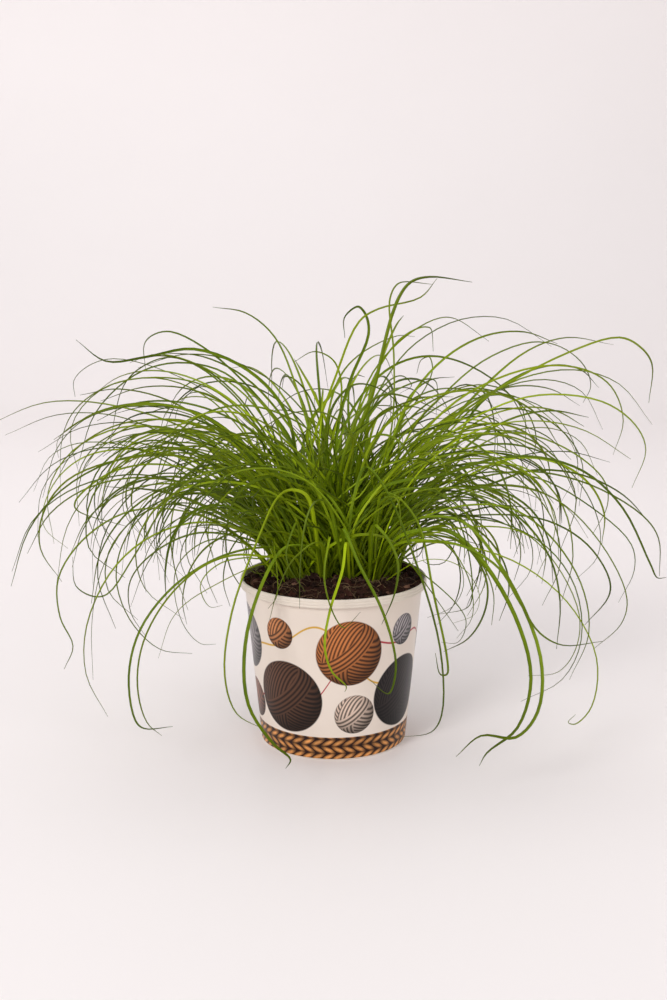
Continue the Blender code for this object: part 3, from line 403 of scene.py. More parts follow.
def rule_blades(places, counts):
    """The rest of each tuft: arching blades turned round it, fewer of them toward the front."""
    draw = np.random.default_rng(SEED)
    blades = []
    for tuft, place in enumerate(places):
        outward, facing, reach = tuft_spread(place)
        for k in range(counts[tuft]):
            lean = facing + reach * (2 * (k + draw.random()) / counts[tuft] - 1)
            if faces_front(lean) and draw.random() < BARE_SHARE:
                lean += math.copysign(math.radians(FRONT_TURN), off_front(lean))
            blade = Blade(tuft, draw.uniform(*ARCH_WIDTHS), lean)
            blade.arch = {
                "length": ARCH_SHORTEST + ARCH_SPREAD * draw.random() ** ARCH_SHORTNESS,
                "rise": math.radians(
                    draw.uniform(*ARCH_RISE) - EDGE_LEAN * outward * draw.random()
                ),
                "bend": math.radians(draw.uniform(*ARCH_BEND)),
                "power": draw.uniform(*ARCH_POWER),
                "swing": math.radians(draw.uniform(-ARCH_SWING, ARCH_SWING)),
            }
            blades.append(blade)
    return blades


def arched(root, lean, length, rise, bend, power, swing):
    """A path whose slope falls from the rise by the bend, slowly and then faster, as it swings."""
    share = (np.arange(ARCH_STEPS) + 0.5) / ARCH_STEPS
    slope = rise - bend * share ** power
    bearing = lean + swing * share ** 2
    level = np.cos(slope)
    ahead = np.stack([level * np.cos(bearing), level * np.sin(bearing), np.sin(slope)], axis=1)
    return np.vstack([root, root + np.cumsum(ahead * length / ARCH_STEPS, axis=0)])


def root_route(blades, places):
    """Roots each tuft's blades round its plug, on the side that they lean to, and routes them."""
    for tuft, (x, y) in enumerate(places):
        own = [blade for blade in blades if blade.tuft == tuft]
        own.sort(key=lambda blade: (blade.lean + math.pi) % math.tau)
        for rank, blade in enumerate(own):
            bearing = -math.pi + math.tau * (rank + 0.5) / len(own)
            radius = ROOT_CIRCLES[rank % 2]
            aside = radius * np.array((math.cos(bearing), math.sin(bearing)))
            root = np.array((x + aside[0], y + aside[1], soil_top((x, y)) - ROOT_DEPTH))
            if blade.arch:
                path = arched(root, blade.lean, **blade.arch)
            else:
                knee = root + (blade.route[0] - root) * KNEE_SHARE
                path = smooth(np.vstack([root, knee, blade.route]), CURVE_STEPS)
            blade.route = spaced(path)


def half_widths(width, count):
    """Half the blade's width at each of its joints: a narrow stem, the full width, a fine tip."""
    widths = (STEM_WIDTH, width, NARROWING * width, TIP_WIDTH)
    return np.interp(np.linspace(0, 1, count), WIDTH_PLACES, widths) / 2


def closest(a, b, c, d):
    """Where the segments a-b and c-d come closest: the share along each and the way between."""
    u, v, w = b - a, d - c, a - c
    uu, uv, vv = (u * u).sum(1), (u * v).sum(1), (v * v).sum(1)
    uw, vw = (u * w).sum(1), (v * w).sum(1)
    cross = uu * vv - uv * uv
    s = np.clip((uv * vw - vv * uw) / np.maximum(cross, LEAST_CROSS), 0, 1)
    t = np.clip((uv * s + vw) / vv, 0, 1)
    s = np.clip((uv * t - uw) / uu, 0, 1)
    return s, t, (a + u * s[:, None]) - (c + v * t[:, None])


class Settling:
    """The joints of all blades in one array, bent clear of each other, the pot and the ground."""

    def __init__(self, blades, places):
        counts = [len(blade.route) for blade in blades]
        self.blades = blades
        self.starts = np.append(0, np.cumsum(counts))
        self.points = np.vstack([blade.route for blade in blades])
        halves = [half_widths(blade.width, count) for blade, count in zip(blades, counts)]
        self.half = np.concatenate(halves)
        self.owner = np.repeat(np.arange(len(blades)), counts)
        self.tuft = np.array([blade.tuft for blade in blades])[self.owner]
        self.first = np.flatnonzero(self.owner[:-1] == self.owner[1:])
        self.last = self.first + 1
        self.wide = np.maximum(self.half[self.first], self.half[self.last])
        self.loose = np.ones((len(self.points), 1))
        self.loose[self.starts[:-1]] = 0
        levels = [soil_top(place) for place in places]
        self.crowns = np.column_stack([places, levels])[self.tuft[self.first]]

    def near_pairs(self):
        """Pairs of segments of two blades that may touch, except where they leave one plug."""
        begin, end = self.points[self.first], self.points[self.last]
        middle = (begin + end) / 2
        reach = lengths(end - begin) / 2 + self.wide + SEARCH_REACH
        in_crown = lengths(middle - self.crowns) < CROWN_REACH
        owner, tuft = self.owner[self.first], self.tuft[self.first]
        pairs = []
        for i in range(len(middle) - 1):
            rest = slice(i + 1, None)
            near = lengths(middle[rest] - middle[i]) < reach[rest] + reach[i]
            one_plug = (tuft[rest] == tuft[i]) & (in_crown[rest] | in_crown[i])
            found = i + 1 + np.flatnonzero(near & (owner[rest] != owner[i]) & ~one_plug)
            pairs.append(np.column_stack([np.full(len(found), i), found]))
        return np.vstack(pairs).T

    def part_blades(self, pairs):
        """Pushes apart the segments that are too close, and returns how many there were."""
        i, j = pairs
        joints = (self.first[i], self.last[i], self.first[j], self.last[j])
        s, t, way = closest(*(self.points[joint] for joint in joints))
        gap = lengths(way)
        short = self.wide[i] + self.wide[j] + BLADE_GAP - gap
        tight = short > 0
        i, j, s, t, way, gap = i[tight], j[tight], s[tight], t[tight], way[tight], gap[tight]
        push = way * ((PUSH_SHARE * short[tight] + LEAST_PUSH) / np.maximum(gap, LEAST_GAP))[:, None]
        moved, weight = np.zeros_like(self.points), np.zeros(len(self.points))
        for segment, along, shift in ((i, s, push), (j, t, -push)):
            rooted = self.loose[self.first[segment], 0] == 0
            lever = np.where(rooted, 1 / np.maximum(along, ROOT_GRIP) ** 2, 1)
            for joint, share in ((self.first[segment], 1 - along), (self.last[segment], along)):
                np.add.at(moved, joint, shift * (share * lever)[:, None])
                np.add.at(weight, joint, share)
        self.points += self.loose * moved / np.maximum(weight, 1)[:, None]
        return len(i)

    def clear_pot(self):
        """Lifts or pushes outward what would touch the pot, and keeps all above the ground."""
        for share in SEGMENT_PROBES:
            probe = self.points[self.first] * (1 - share) + self.points[self.last] * share
            radius = lengths(probe[:, :2])
            below = POT_HEIGHT + POT_CLEARANCE + self.wide - probe[:, 2]
            inside = wall_radius(probe[:, 2]) + POT_CLEARANCE + self.wide - radius
            touching = (below > 0) & (inside > 0) & (radius > POT_RIM_RADIUS - RIM_WIDTH)
            lifted = touching & (below < inside)
            pushed = touching & ~lifted
            move = np.zeros_like(probe)
            move[lifted, 2] = below[lifted]
            move[pushed, :2] = probe[pushed, :2] * (inside / radius)[pushed, None]
            for joint, part in ((self.first, 1 - share), (self.last, share)):
                np.add.at(self.points, joint, self.loose[joint] * move * part)
        self.points[:, 2] = np.maximum(self.points[:, 2], GROUND_CLEARANCE)

    def stand_up(self):
        """Keeps each stem steep enough to leave its plug without touching the soil."""
        root, knee = self.starts[:-1], self.starts[:-1] + 1
        aside = lengths(self.points[knee, :2] - self.points[root, :2])
        lowest = self.points[root, 2] + STEM_SLOPE * aside + STEM_WIDTH
        self.points[knee, 2] = np.maximum(self.points[knee, 2], lowest)

    def run(self):
        """Repeats the corrections until nothing is too close, then hands the joints back."""
        for turn in range(SETTLING_ROUNDS):
            if turn % SEARCH_EVERY == 0:
                pairs = self.near_pairs()
            tight = self.part_blades(pairs)
            self.clear_pot()
            self.stand_up()
            if not tight:
                break
        for blade, begin, end in zip(self.blades, self.starts[:-1], self.starts[1:]):
            blade.route = self.points[begin:end]


def grow_blades(places):
    """All blades, rooted in their tufts and bent clear of each other."""
    blades = outline_blades(places)
    taken = np.bincount([blade.tuft for blade in blades], minlength=len(places))
    blades += rule_blades(places, np.maximum(BLADES_PER_TUFT - taken, 0))
    root_route(blades, places)
    Settling(blades, places).run()
    return blades


def blade_frames(route, lean):
    """Direction, sideways and outward vectors at each joint, carried along without twisting."""
    run = np.diff(route, axis=0)
    run /= lengths(run)[:, None]
    ahead = np.vstack([run[:1], run[1:] + run[:-1], run[-1:]])
    ahead /= lengths(ahead)[:, None]
    side = np.array((-math.sin(lean), math.cos(lean), 0))
    sides = []
    for way in ahead:
        side = side - way * side.dot(way)
        side /= np.linalg.norm(side)
        sides.append(side)
    sides = np.array(sides)
    return sides, np.cross(sides, ahead)


def pot_profile():
    """Half section of the pot: up the inside from the middle of its floor, and down outside."""
    band_foot = POT_HEIGHT - RIM_BAND_HEIGHT
    neck = POT_RIM_RADIUS - RIM_BAND_STEP
    recess_edge = POT_FOOT_RADIUS - FOOT_RING_WIDTH
    return (
        (0, FLOOR_TOP),
        (POT_FOOT_RADIUS - POT_WALL, FLOOR_TOP),
        (neck - POT_WALL, band_foot + EDGE_ROUNDING),
        (POT_RIM_RADIUS - POT_WALL, band_foot + EDGE_ROUNDING + POT_WALL),
        (POT_RIM_RADIUS - POT_WALL, POT_HEIGHT - EDGE_ROUNDING / 2),
        (POT_RIM_RADIUS - POT_WALL / 2, POT_HEIGHT),
        (POT_RIM_RADIUS, POT_HEIGHT - EDGE_ROUNDING),
        (POT_RIM_RADIUS, band_foot),
        (neck, band_foot - EDGE_ROUNDING / 2),
        (POT_FOOT_RADIUS, EDGE_ROUNDING),
        (POT_FOOT_RADIUS - EDGE_ROUNDING, 0),
        (recess_edge, 0),
        (recess_edge - EDGE_ROUNDING, BASE_RECESS),
        (BOSS_RADIUS + EDGE_ROUNDING, BASE_RECESS),
        (BOSS_RADIUS, 0),
        (0, 0),
    )


def turned_mesh(name, profile, sides):
    """Closed mesh turned from a half section whose ends lie on the Z axis, its faces in order."""
    shape = bmesh.new()
    corners = [shape.verts.new((radius, 0, height)) for radius, height in profile]
    edges = [shape.edges.new(pair) for pair in zip(corners[:-1], corners[1:])]
    bmesh.ops.spin(
        shape, geom=corners + edges, cent=(0, 0, 0), axis=(0, 0, 1), angle=math.tau, steps=sides
    )
    bmesh.ops.remove_doubles(shape, verts=shape.verts, dist=MERGE)
    bmesh.ops.recalc_face_normals(shape, faces=shape.faces)
    shape.verts.index_update()
    points = [tuple(vert.co) for vert in shape.verts]
    faces = [[vert.index for vert in face.verts] for face in shape.faces]
    shape.free()
    lowest_first = [np.roll(face, -int(np.argmin(face))).tolist() for face in faces]
    return mesh_of(name, points, sorted(lowest_first))


# Fine blades. Their rolls, at the root and along a blade, are in degrees.
RINGS_PER_JOINT = 5
POINT_WIDTH = 0.3 * MM
FINE_PLACES = (0, 0.2, 0.55, 0.82, 1)
SHEATH_SHARE = 0.8
MID_SHARE = 0.78
FAR_SHARE = 0.52
CHANNEL = 0.34
SKIN = 0.28 * MM
EDGE_SKIN = 0.12 * MM
ROLL_START = 25
ROLL_ALONG = 80
ROLL_POWER = 1.5
STRAND_SHARP_ANGLE = 50
MAP_LEFT = 0.1
MAP_RIGHT = 0.9

# Section of a blade, round it: across from edge to edge, lift of the edges, and which skin
BLADE_SECTION = np.array((
    (-1, 1, 0), (-0.5, 0.4, 0), (0, 0, 0), (0.5, 0.4, 0), (1, 1, 0),
    (1, 1, 1), (0.5, 0.4, 1), (0, 0, 1), (-0.5, 0.4, 1), (-1, 1, 1),
), float)

# Across a blade: veins in half its width, and the midrib's reach as a share of that half
VEINS = 4.5
RIB_REACH = 0.12

# Finer blades between the others
WISP_JOINTS = 9
WISP_RINGS_PER_JOINT = 4
WISP_SEED = 19
ROOTED_POINTS = 3

# Peat: each layer of its surface has a frequency (per metre) and a share of the roughness
PEAT_RINGS = 46
PEAT_SIDES = 144
PEAT_LAYERS = ((60, 1), (190, 0.7), (520, 0.45))
PEAT_ROUGHNESS = 2.2 * MM
PEAT_SINK = 0.3
SMOOTH_EDGE = 1.08
SMOOTHING = 6
PEAT_SHARP_ANGLE = 60
PEAT_EDGE = POT_RIM_RADIUS - POT_WALL - 1.2 * MM
HEAP_START = 0.75
HEAP_HEIGHT = 3.2 * MM
PEAT_SEED = 5

# Crumbs
CRUMBS = 620
CRUMB_SIZES = (0.7 * MM, 2.9 * MM)
CRUMB_SMALLNESS = 2.5
CRUMB_STRETCH = (0.55, 1.25)
CRUMB_LIFT = 0.3
DENT_FREQUENCY = 1.6
DENT_DEPTH = 0.75

# Fibres
FIBRES = 220
FIBRE_LENGTHS = (7 * MM, 24 * MM)
FIBRE_WIDTHS = (0.25 * MM, 0.6 * MM)
FIBRE_MARGIN = 2 * MM
FIBRE_JOINTS = 12
FIBRE_SIDES = 5
FIBRE_CURL = 2.2
FIBRE_ARCHES = (0.4, 3)
FIBRE_LIFT = 0.4 * MM
FIBRE_TAPER = 0.5

# Pot
FINE_SIDES = 192
CORNER_STEPS = 5
CORNER_SHARE = 0.45
GROOVE_DEPTH = 0.35 * MM
GROOVE_PLACES = (2.4 * MM, 4.4 * MM)
PRINT_TOP = POT_HEIGHT - RIM_BAND_HEIGHT - 1 * MM
PRINT_FOOT = 1.2 * MM

# Height of the relief in each surface
VEIN_RELIEF = 0.05 * MM
PEAT_RELIEF = 0.5 * MM
CRUMB_RELIEF = 0.3 * MM
PLASTIC_RELIEF = 0.03 * MM

# Colours, linear
LEAF_DEEP = (0.110, 0.180, 0.0005)
LEAF_FRESH = (0.450, 0.580, 0.006)
# Dark at the blades' roots: the older leaf bases' own colour, and painted shade where the blades crowd
LEAF_BASE_AND_SHADE = (0.075, 0.085, 0.004)
LEAF_TIP = (0.30, 0.33, 0.08)
PEAT_DARK = (0.010, 0.004, 0.003)
PEAT_BROWN = (0.058, 0.020, 0.013)
PEAT_GRIT = (0.17, 0.065, 0.042)
CRUMB_BROWN = (0.060, 0.020, 0.013)
BARK = (0.22, 0.11, 0.075)
FIBRE_BROWN = (0.05, 0.022, 0.010)
FIBRE_PALE = (0.24, 0.15, 0.07)
CREAM = ((0.73, 0.635, 0.54), (0.785, 0.70, 0.61))
FILM_CREAM = ((0.76, 0.655, 0.57), (0.82, 0.72, 0.635))
ROPE_SHADE = (0.022, 0.005, 0.003)
ROPE_GOLD = (0.86, 0.37, 0.11)
FLOOR_PALE = ((0.90, 0.85, 0.845), (0.92, 0.87, 0.865))
SKY = (0.98, 0.96, 0.97)

# Print: balls of wool, two loose threads and a twisted rope border, sizes in millimetres.
# Each ball: its place across a column, height, radius, and the colours it takes in turn.
COLUMNS = 4
BALLS = (
    (0.62, 44, 25.5, (0.020, 0.013, 0.013), (0.100, 0.042, 0.023)),
    (0.12, 78, 23, (0.47, 0.155, 0.045), (0.33, 0.29, 0.29)),
    (0.17, 33.5, 14, (0.62, 0.47, 0.38), (0.25, 0.075, 0.03)),
    (0.58, 89, 11, (0.36, 0.32, 0.33), (0.50, 0.19, 0.07)),
)
TURNS_PER_MM = 0.36
FIRST_WINDING = (0.45, 0.80, 0.40)
SOFT_EDGE = 0.03

# Each winding over the first: its axis, and the middle and half the width of its band
OVER_WINDINGS = (
    ((0.86, -0.30, 0.41), 0, 0.46),
    ((-0.62, 0.70, 0.35), 0.25, 0.24),
)

# Each thread: its phase, height and colour. Each of its waves: turns a column, and height.
THREADS = ((0.0, 62, (0.42, 0.045, 0.06)), (0.37, 66, (0.62, 0.36, 0.05)))
THREAD_WAVES = ((0.5, 26), (1.5, 7))
THREAD_WIDTH = 0.7
ROPE_TOP = 17
ROPE_ROW = 5.2
ROPE_TWIST = 7
ROPE_LEAN = 0.9

# Camera and studio
CAMERA_PITCH = 11.6
LENS = 50
SENSOR = 36
FLOOR_SIDE = 4
FLOOR_FRONT = -3.5
FLOOR_BACK = 1.5
SWEEP_RADIUS = 0.8
SWEEP_STEPS = 12
SWEEP_TOP = 2.6
SKY_STRENGTH = 0.48
PLANT = (0, 0, 0.15)

# Each light: name, place, what it faces, its two sides and its power (W)
LIGHTS = (
    ("key", (-2.0, -2.8, 2.3), PLANT, (1.2, 1.2), 74),
    ("fill", (1.5, -3.0, 2.0), PLANT, (1.4, 1.4), 16),
    ("strip", (1.7, -0.7, 0.7), PLANT, (0.3, 1.3), 4),
    ("top", (-0.3, 0.3, 3.0), PLANT, (2.2, 2.2), 9),
    ("back", (-0.6, 0.9, 1.7), (-0.6, 0.8, 0), (2.8, 0.8), 8),
)


@dataclass
class Strand:
    """A fine blade or fibre: rings of points (ring, corner, xyz), its section and its tone."""

    rings: np.ndarray
    section: np.ndarray
    tone: float


def fine_half_widths(width, along):
    """Half the width along a blade: a sheath, the full width, and a long taper to a point."""
    sheath = max(STEM_WIDTH, SHEATH_SHARE * width)
    widths = (sheath, width, MID_SHARE * width, FAR_SHARE * width, POINT_WIDTH)
    return np.interp(along, FINE_PLACES, widths) / 2


def rolled_frames(path, lean, roll):
    """Sideways and outward vectors along the path, rolled about it by an angle at each point."""
    sides, outs = blade_frames(path, lean)
    turn_cos, turn_sin = np.cos(roll)[:, None], np.sin(roll)[:, None]
    return sides * turn_cos + outs * turn_sin, outs * turn_cos - sides * turn_sin


def blade_strand(path, width, lean, draw):
    """A fine blade: a shallow channel with a keel, twisting a little on its way."""
    along = np.linspace(0, 1, len(path))
    start = math.radians(draw.normal(0, ROLL_START))
    roll = start + math.radians(draw.uniform(-ROLL_ALONG, ROLL_ALONG)) * along ** ROLL_POWER
    sides, outs = rolled_frames(path, lean, roll)
    half = fine_half_widths(width, along)[:, None, None]
    across, lift, under = (column[None, :, None] for column in BLADE_SECTION.T)
    slim = np.minimum(1, half / (STEM_WIDTH / 2))
    skin = (SKIN + (EDGE_SKIN - SKIN) * np.abs(across)) * slim
    out = under * skin - lift * CHANNEL * 2 * half
    rings = path[:, None] + sides[:, None] * across * half + outs[:, None] * out
    return Strand(rings, BLADE_SECTION, draw.random())


def strand_mesh(name, strands):
    """One mesh of many closed strands, with the attributes grain and tone and a map to bake on."""
    points, faces, grain, tones, maps = [], [], [], [], []
    columns = sum(len(strand.section) for strand in strands)
    start = column = 0
    for strand in strands:
        ring_count, corners = strand.rings.shape[:2]
        points.append(strand.rings.reshape(-1, 3))
        along = np.linspace(0, 1, ring_count)
        for place in along:
            grain.append(np.column_stack([strand.section[:, 0], np.full(corners, place),
                                          strand.section[:, 2]]))
        tones.append(np.full(ring_count * corners, strand.tone))
        for ring in range(ring_count - 1):
            for k in range(corners):
                a, b = start + ring * corners + k, start + ring * corners + (k + 1) % corners
                faces.append((a, a + corners, b + corners, b))
                left = (column + k + MAP_LEFT) / columns
                right = (column + k + MAP_RIGHT) / columns
                low, high = along[ring], along[ring + 1]
                maps += [(left, low), (left, high), (right, high), (right, low)]
        last = start + (ring_count - 1) * corners
        for cap, level in ((range(start, start + corners), 0),
                           (range(last + corners - 1, last - 1, -1), 1)):
            faces.append(tuple(cap))
            places = [column + MAP_LEFT + (MAP_RIGHT - MAP_LEFT) * (k % 2) for k in range(corners)]
            maps += [(place / columns, level) for place in places]
        start += ring_count * corners
        column += corners
    mesh = mesh_of(name, np.vstack(points), faces)
    shade(mesh, STRAND_SHARP_ANGLE)
    add_attribute(mesh, "grain", "FLOAT_VECTOR", "vector", np.vstack(grain))
    add_attribute(mesh, "tone", "FLOAT", "value", np.concatenate(tones))
    uv = mesh.uv_layers.new(name="OFBake")
    uv.data.foreach_set("uv", np.array(maps, np.float32).ravel())
    return mesh


def shade(mesh, sharp_angle):
    """Smooth shading, with sharp edges where faces meet at more than this angle."""
    mesh.shade_smooth()
    mesh.set_sharp_from_angle(angle=math.radians(sharp_angle))


def add_attribute(mesh, name, kind, field, values):
    attribute = mesh.attributes.new(name, kind, "POINT")
    attribute.data.foreach_set(field, np.asarray(values, np.float32).ravel())


def mesh_of(name, points, faces):
    mesh = bpy.data.meshes.new(name)
    mesh.from_pydata(np.asarray(points).tolist(), [], faces)
    mesh.update()
    return mesh


def put_in_scene(name, data):
    """A new object in the scene, made of a mesh, a light or a camera."""
    thing = bpy.data.objects.new(name, data)
    bpy.context.scene.collection.objects.link(thing)
    return thing


def add_piece(name, mesh, material, slot, *nodes):
    """A piece of the object, riding on its one body and standing for the CAD nodes named."""
    piece = put_in_scene(name, mesh)
    if not mesh.materials:
        mesh.materials.append(material)
    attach(piece, "root")
    if nodes:
        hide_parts(*nodes)
    return piece


def clear_of_pot(path):
    """Whether a path stays out of the pot's wall and the ground, and leaves the soil for good."""
    radius = lengths(path[:, :2])
    height = path[:, 2]
    wall = wall_radius(height) + 2 * POT_CLEARANCE
    low = height < POT_HEIGHT + POT_CLEARANCE
    in_wall = low & (radius < wall) & (radius > POT_RIM_RADIUS - RIM_WIDTH)
    in_soil = (height < [soil_top(point) for point in path[:, :2]]) & (radius < wall)
    in_soil[:ROOTED_POINTS] = False
    return not (in_wall.any() or in_soil.any() or height.min() < GROUND_CLEARANCE)


@dataclass
class Kind:
    """A kind of finer blade: how many a tuft has, sizes in metres, and angles in degrees."""

    count: int
    widths: tuple
    lengths: tuple
    rise: tuple
    bend: tuple
    power: tuple
    roots: tuple
    outward: bool
    in_front: bool


WISPS = Kind(
    count=9, widths=(1.4 * MM, 2.6 * MM), lengths=(120 * MM, 300 * MM), rise=ARCH_RISE,
    bend=(115, 235), power=(1.1, 2.3), roots=(7 * MM, 7 * MM), outward=True, in_front=False,
)
SHOOTS = Kind(
    count=9, widths=(1.8 * MM, 3.8 * MM), lengths=(45 * MM, 135 * MM), rise=(42, 86),
    bend=(5, 80), power=(1, 2.2), roots=(18 * MM, 7 * MM), outward=False, in_front=False,
)
CURLS = Kind(
    count=1, widths=(0.8 * MM, 1.3 * MM), lengths=(90 * MM, 180 * MM), rise=(35, 80),
    bend=(190, 400), power=(1, 2.5), roots=(10 * MM, 6 * MM), outward=False, in_front=True,
)


def fine_route(kind, place, draw):
    """Lean and path of a finer blade. One of an outward kind leans away from the middle."""
    outward, facing, reach = tuft_spread(place)
    rise = draw.uniform(*kind.rise)
    if kind.outward:
        lean = facing + draw.uniform(-reach, reach)
        rise -= EDGE_LEAN * outward * draw.random()
    else:
        lean = draw.uniform(0, math.tau)
    bearing, share = draw.uniform(0, math.tau), draw.random()
    x = place[0] + kind.roots[0] * share * math.cos(bearing)
    y = place[1] + kind.roots[1] * share * math.sin(bearing)
    root = np.array((x, y, soil_top((x, y)) - ROOT_DEPTH))
    swing = math.radians(draw.uniform(-ARCH_SWING, ARCH_SWING))
    bend, power = math.radians(draw.uniform(*kind.bend)), draw.uniform(*kind.power)
    length = draw.uniform(*kind.lengths)
    return lean, arched(root, lean, length, math.radians(rise), bend, power, swing)


def fine_strands(kind, place, draw, box):
    """One tuft's finer blades of a kind, redrawn until their paths clear pot and box."""
    strands = []
    while len(strands) < kind.count:
        lean, path = fine_route(kind, place, draw)
        if not kind.in_front and faces_front(lean) and draw.random() < BARE_SHARE:
            continue
        if not clear_of_pot(path) or (path < box[0]).any() or (path > box[1]).any():
            continue
        joints = path[np.linspace(0, len(path) - 1, WISP_JOINTS).astype(int)]
        route = smooth(joints, WISP_RINGS_PER_JOINT)
        strands.append(blade_strand(route, draw.uniform(*kind.widths), lean, draw))
    return strands


def add_grass(leaf):
    places = tuft_places()
    blades = grow_blades(places)
    draw = np.random.default_rng(WISP_SEED)
    box = np.array([tuple(corner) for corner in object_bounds()])
    for tuft, place in enumerate(places):
        strands = [
            blade_strand(smooth(blade.route, RINGS_PER_JOINT), blade.width, blade.lean, draw)
            for blade in blades if blade.tuft == tuft
        ]
        name = f"tuft_{tuft + 1:02d}"
        add_piece(f"grass_{tuft + 1:02d}", strand_mesh("grass", strands), leaf, "leaf", name)
        wisps = [
            strand for kind in (WISPS, SHOOTS, CURLS)
            for strand in fine_strands(kind, place, draw, box)
        ]
        add_piece(f"wisps_{tuft + 1:02d}", strand_mesh("wisps", wisps), leaf, "leaf")


def peat_height(x, y):
    """Height of the peat's surface: clods, lumps and grit, heaped at the wall."""
    height = 0
    for frequency, share in PEAT_LAYERS:
        height += share * noise.noise(Vector((x * frequency, y * frequency, share)))
    share = math.hypot(x, y) / PEAT_EDGE
    heap = max(0, share - HEAP_START) / (1 - HEAP_START) * HEAP_HEIGHT
    rough = PEAT_ROUGHNESS * min(1, SMOOTHING * (SMOOTH_EDGE - share))
    return soil_top((x, y)) + heap + rough * (height - PEAT_SINK)


def circle(radius, sides):
    """Places evenly round the pot's axis."""
    bearings = [math.tau * k / sides for k in range(sides)]
    return [(radius * math.cos(bearing), radius * math.sin(bearing)) for bearing in bearings]


def scattered(draw, reach):
    """A place drawn evenly within this distance of the pot's axis."""
    bearing, radius = draw.uniform(0, math.tau), reach * math.sqrt(draw.random())
    return radius * math.cos(bearing), radius * math.sin(bearing)


def add_peat(peat):
    """The soil's fine piece: a rough top of many small faces over a plain body."""
    points = []
    for ring in range(1, PEAT_RINGS + 1):
        around = circle(PEAT_EDGE * ring / PEAT_RINGS, PEAT_SIDES)
        points += [(x, y, peat_height(x, y)) for x, y in around]
    bottom = FLOOR_TOP + SEAT_GAP
    for height in (SOIL_LEVEL, bottom):
        points += [(x, y, height) for x, y in circle(soil_radius(height), PEAT_SIDES)]
    points += [(0, 0, peat_height(0, 0)), (0, 0, bottom)]
    top, under = len(points) - 2, len(points) - 1
    faces = []
    for k in range(PEAT_SIDES):
        ahead = (k + 1) % PEAT_SIDES
        faces.append((top, k, ahead))
        for ring in range(PEAT_RINGS + 1):
            a, b = ring * PEAT_SIDES + k, ring * PEAT_SIDES + ahead
            faces.append((a, a + PEAT_SIDES, b + PEAT_SIDES, b))
        last = (PEAT_RINGS + 1) * PEAT_SIDES
        faces.append((under, last + ahead, last + k))
    mesh = mesh_of("peat", points, faces)
    shade(mesh, PEAT_SHARP_ANGLE)
    add_piece("peat", mesh, peat, "peat", "soil")


def add_crumbs(crumb):
    """Loose crumbs of peat and bark on the soil, each a small dented lump."""
    draw = np.random.default_rng(PEAT_SEED)
    shape = bmesh.new()
    bmesh.ops.create_icosphere(shape, subdivisions=2, radius=1)
    ball = np.array([vert.co for vert in shape.verts])
    corners = [[vert.index for vert in face.verts] for face in shape.faces]
    shape.free()
    points, faces, tones = [], [], []
    reach = PEAT_EDGE - CRUMB_SIZES[1] / 2
    for number in range(CRUMBS):
        x, y = scattered(draw, reach)
        share = draw.random() ** CRUMB_SMALLNESS
        size = CRUMB_SIZES[0] + (CRUMB_SIZES[1] - CRUMB_SIZES[0]) * share
        aside = Vector((number, 0, 0))
        dents = np.array([noise.noise(Vector(p * DENT_FREQUENCY) + aside) for p in ball])
        lump = ball * (1 + DENT_DEPTH * dents[:, None]) * size * draw.uniform(*CRUMB_STRETCH, 3)
        turn = draw.uniform(0, math.tau)
        cosine, sine = math.cos(turn), math.sin(turn)
        spun = np.array(((cosine, -sine, 0), (sine, cosine, 0), (0, 0, 1)))
        start = number * len(ball)
        points.append(lump @ spun.T + (x, y, peat_height(x, y) + CRUMB_LIFT * size))
        faces += [[start + corner for corner in face] for face in corners]
        tones.append(np.full(len(ball), draw.random()))
    mesh = mesh_of("crumbs", np.vstack(points), faces)
    add_attribute(mesh, "tone", "FLOAT", "value", np.concatenate(tones))
    add_piece("crumbs", mesh, crumb, "peat")


def add_fibres(fibre):
    """Fine fibres and rootlets that lie curled on the peat."""
    draw = np.random.default_rng(PEAT_SEED + 1)
    reach = PEAT_EDGE - FIBRE_MARGIN
    angles = np.arange(FIBRE_SIDES) / FIBRE_SIDES * math.tau
    section = np.column_stack([np.cos(angles), np.sin(angles), np.zeros(FIBRE_SIDES)])
    strands = []
    while len(strands) < FIBRES:
        start = scattered(draw, reach)
        heading, curl = draw.uniform(0, math.tau), draw.normal(0, FIBRE_CURL)
        along = np.linspace(0, 1, FIBRE_JOINTS)
        step = draw.uniform(*FIBRE_LENGTHS) / FIBRE_JOINTS
        way = heading + curl * along
        x = start[0] + np.cumsum(np.cos(way)) * step
        y = start[1] + np.cumsum(np.sin(way)) * step
        if np.hypot(x, y).max() > reach:
            continue
        arch = draw.uniform(*FIBRE_ARCHES) * MM * np.sin(math.pi * along)
        z = np.array([peat_height(a, b) for a, b in zip(x, y)]) + FIBRE_LIFT + arch
        path = np.column_stack([x, y, z])
        sides, outs = blade_frames(path, heading + math.pi / 2)
        half = draw.uniform(*FIBRE_WIDTHS) / 2 * (1 - FIBRE_TAPER * along)[:, None, None]
        rings = path[:, None] + (sides[:, None] * section[None, :, :1]
                                 - outs[:, None] * section[None, :, 1:2]) * half
        strands.append(Strand(rings, section, draw.random()))
    add_piece("fibres", strand_mesh("fibres", strands), fibre, "peat")


def rounded(corners, radius):
    """The outline with each inner corner replaced by a short curve."""
    corners = np.array(corners)
    outline = [corners[0]]
    for before, corner, after in zip(corners[:-2], corners[1:-1], corners[2:]):
        back, ahead = before - corner, after - corner
        shorter = min(CORNER_SHARE * np.linalg.norm(back), CORNER_SHARE * np.linalg.norm(ahead))
        reach = min(radius, shorter)
        start = corner + back / np.linalg.norm(back) * reach
        end = corner + ahead / np.linalg.norm(ahead) * reach
        for t in np.linspace(0, 1, CORNER_STEPS):
            outline.append((1 - t) ** 2 * start + 2 * t * (1 - t) * corner + t ** 2 * end)
    return outline + [corners[-1]]


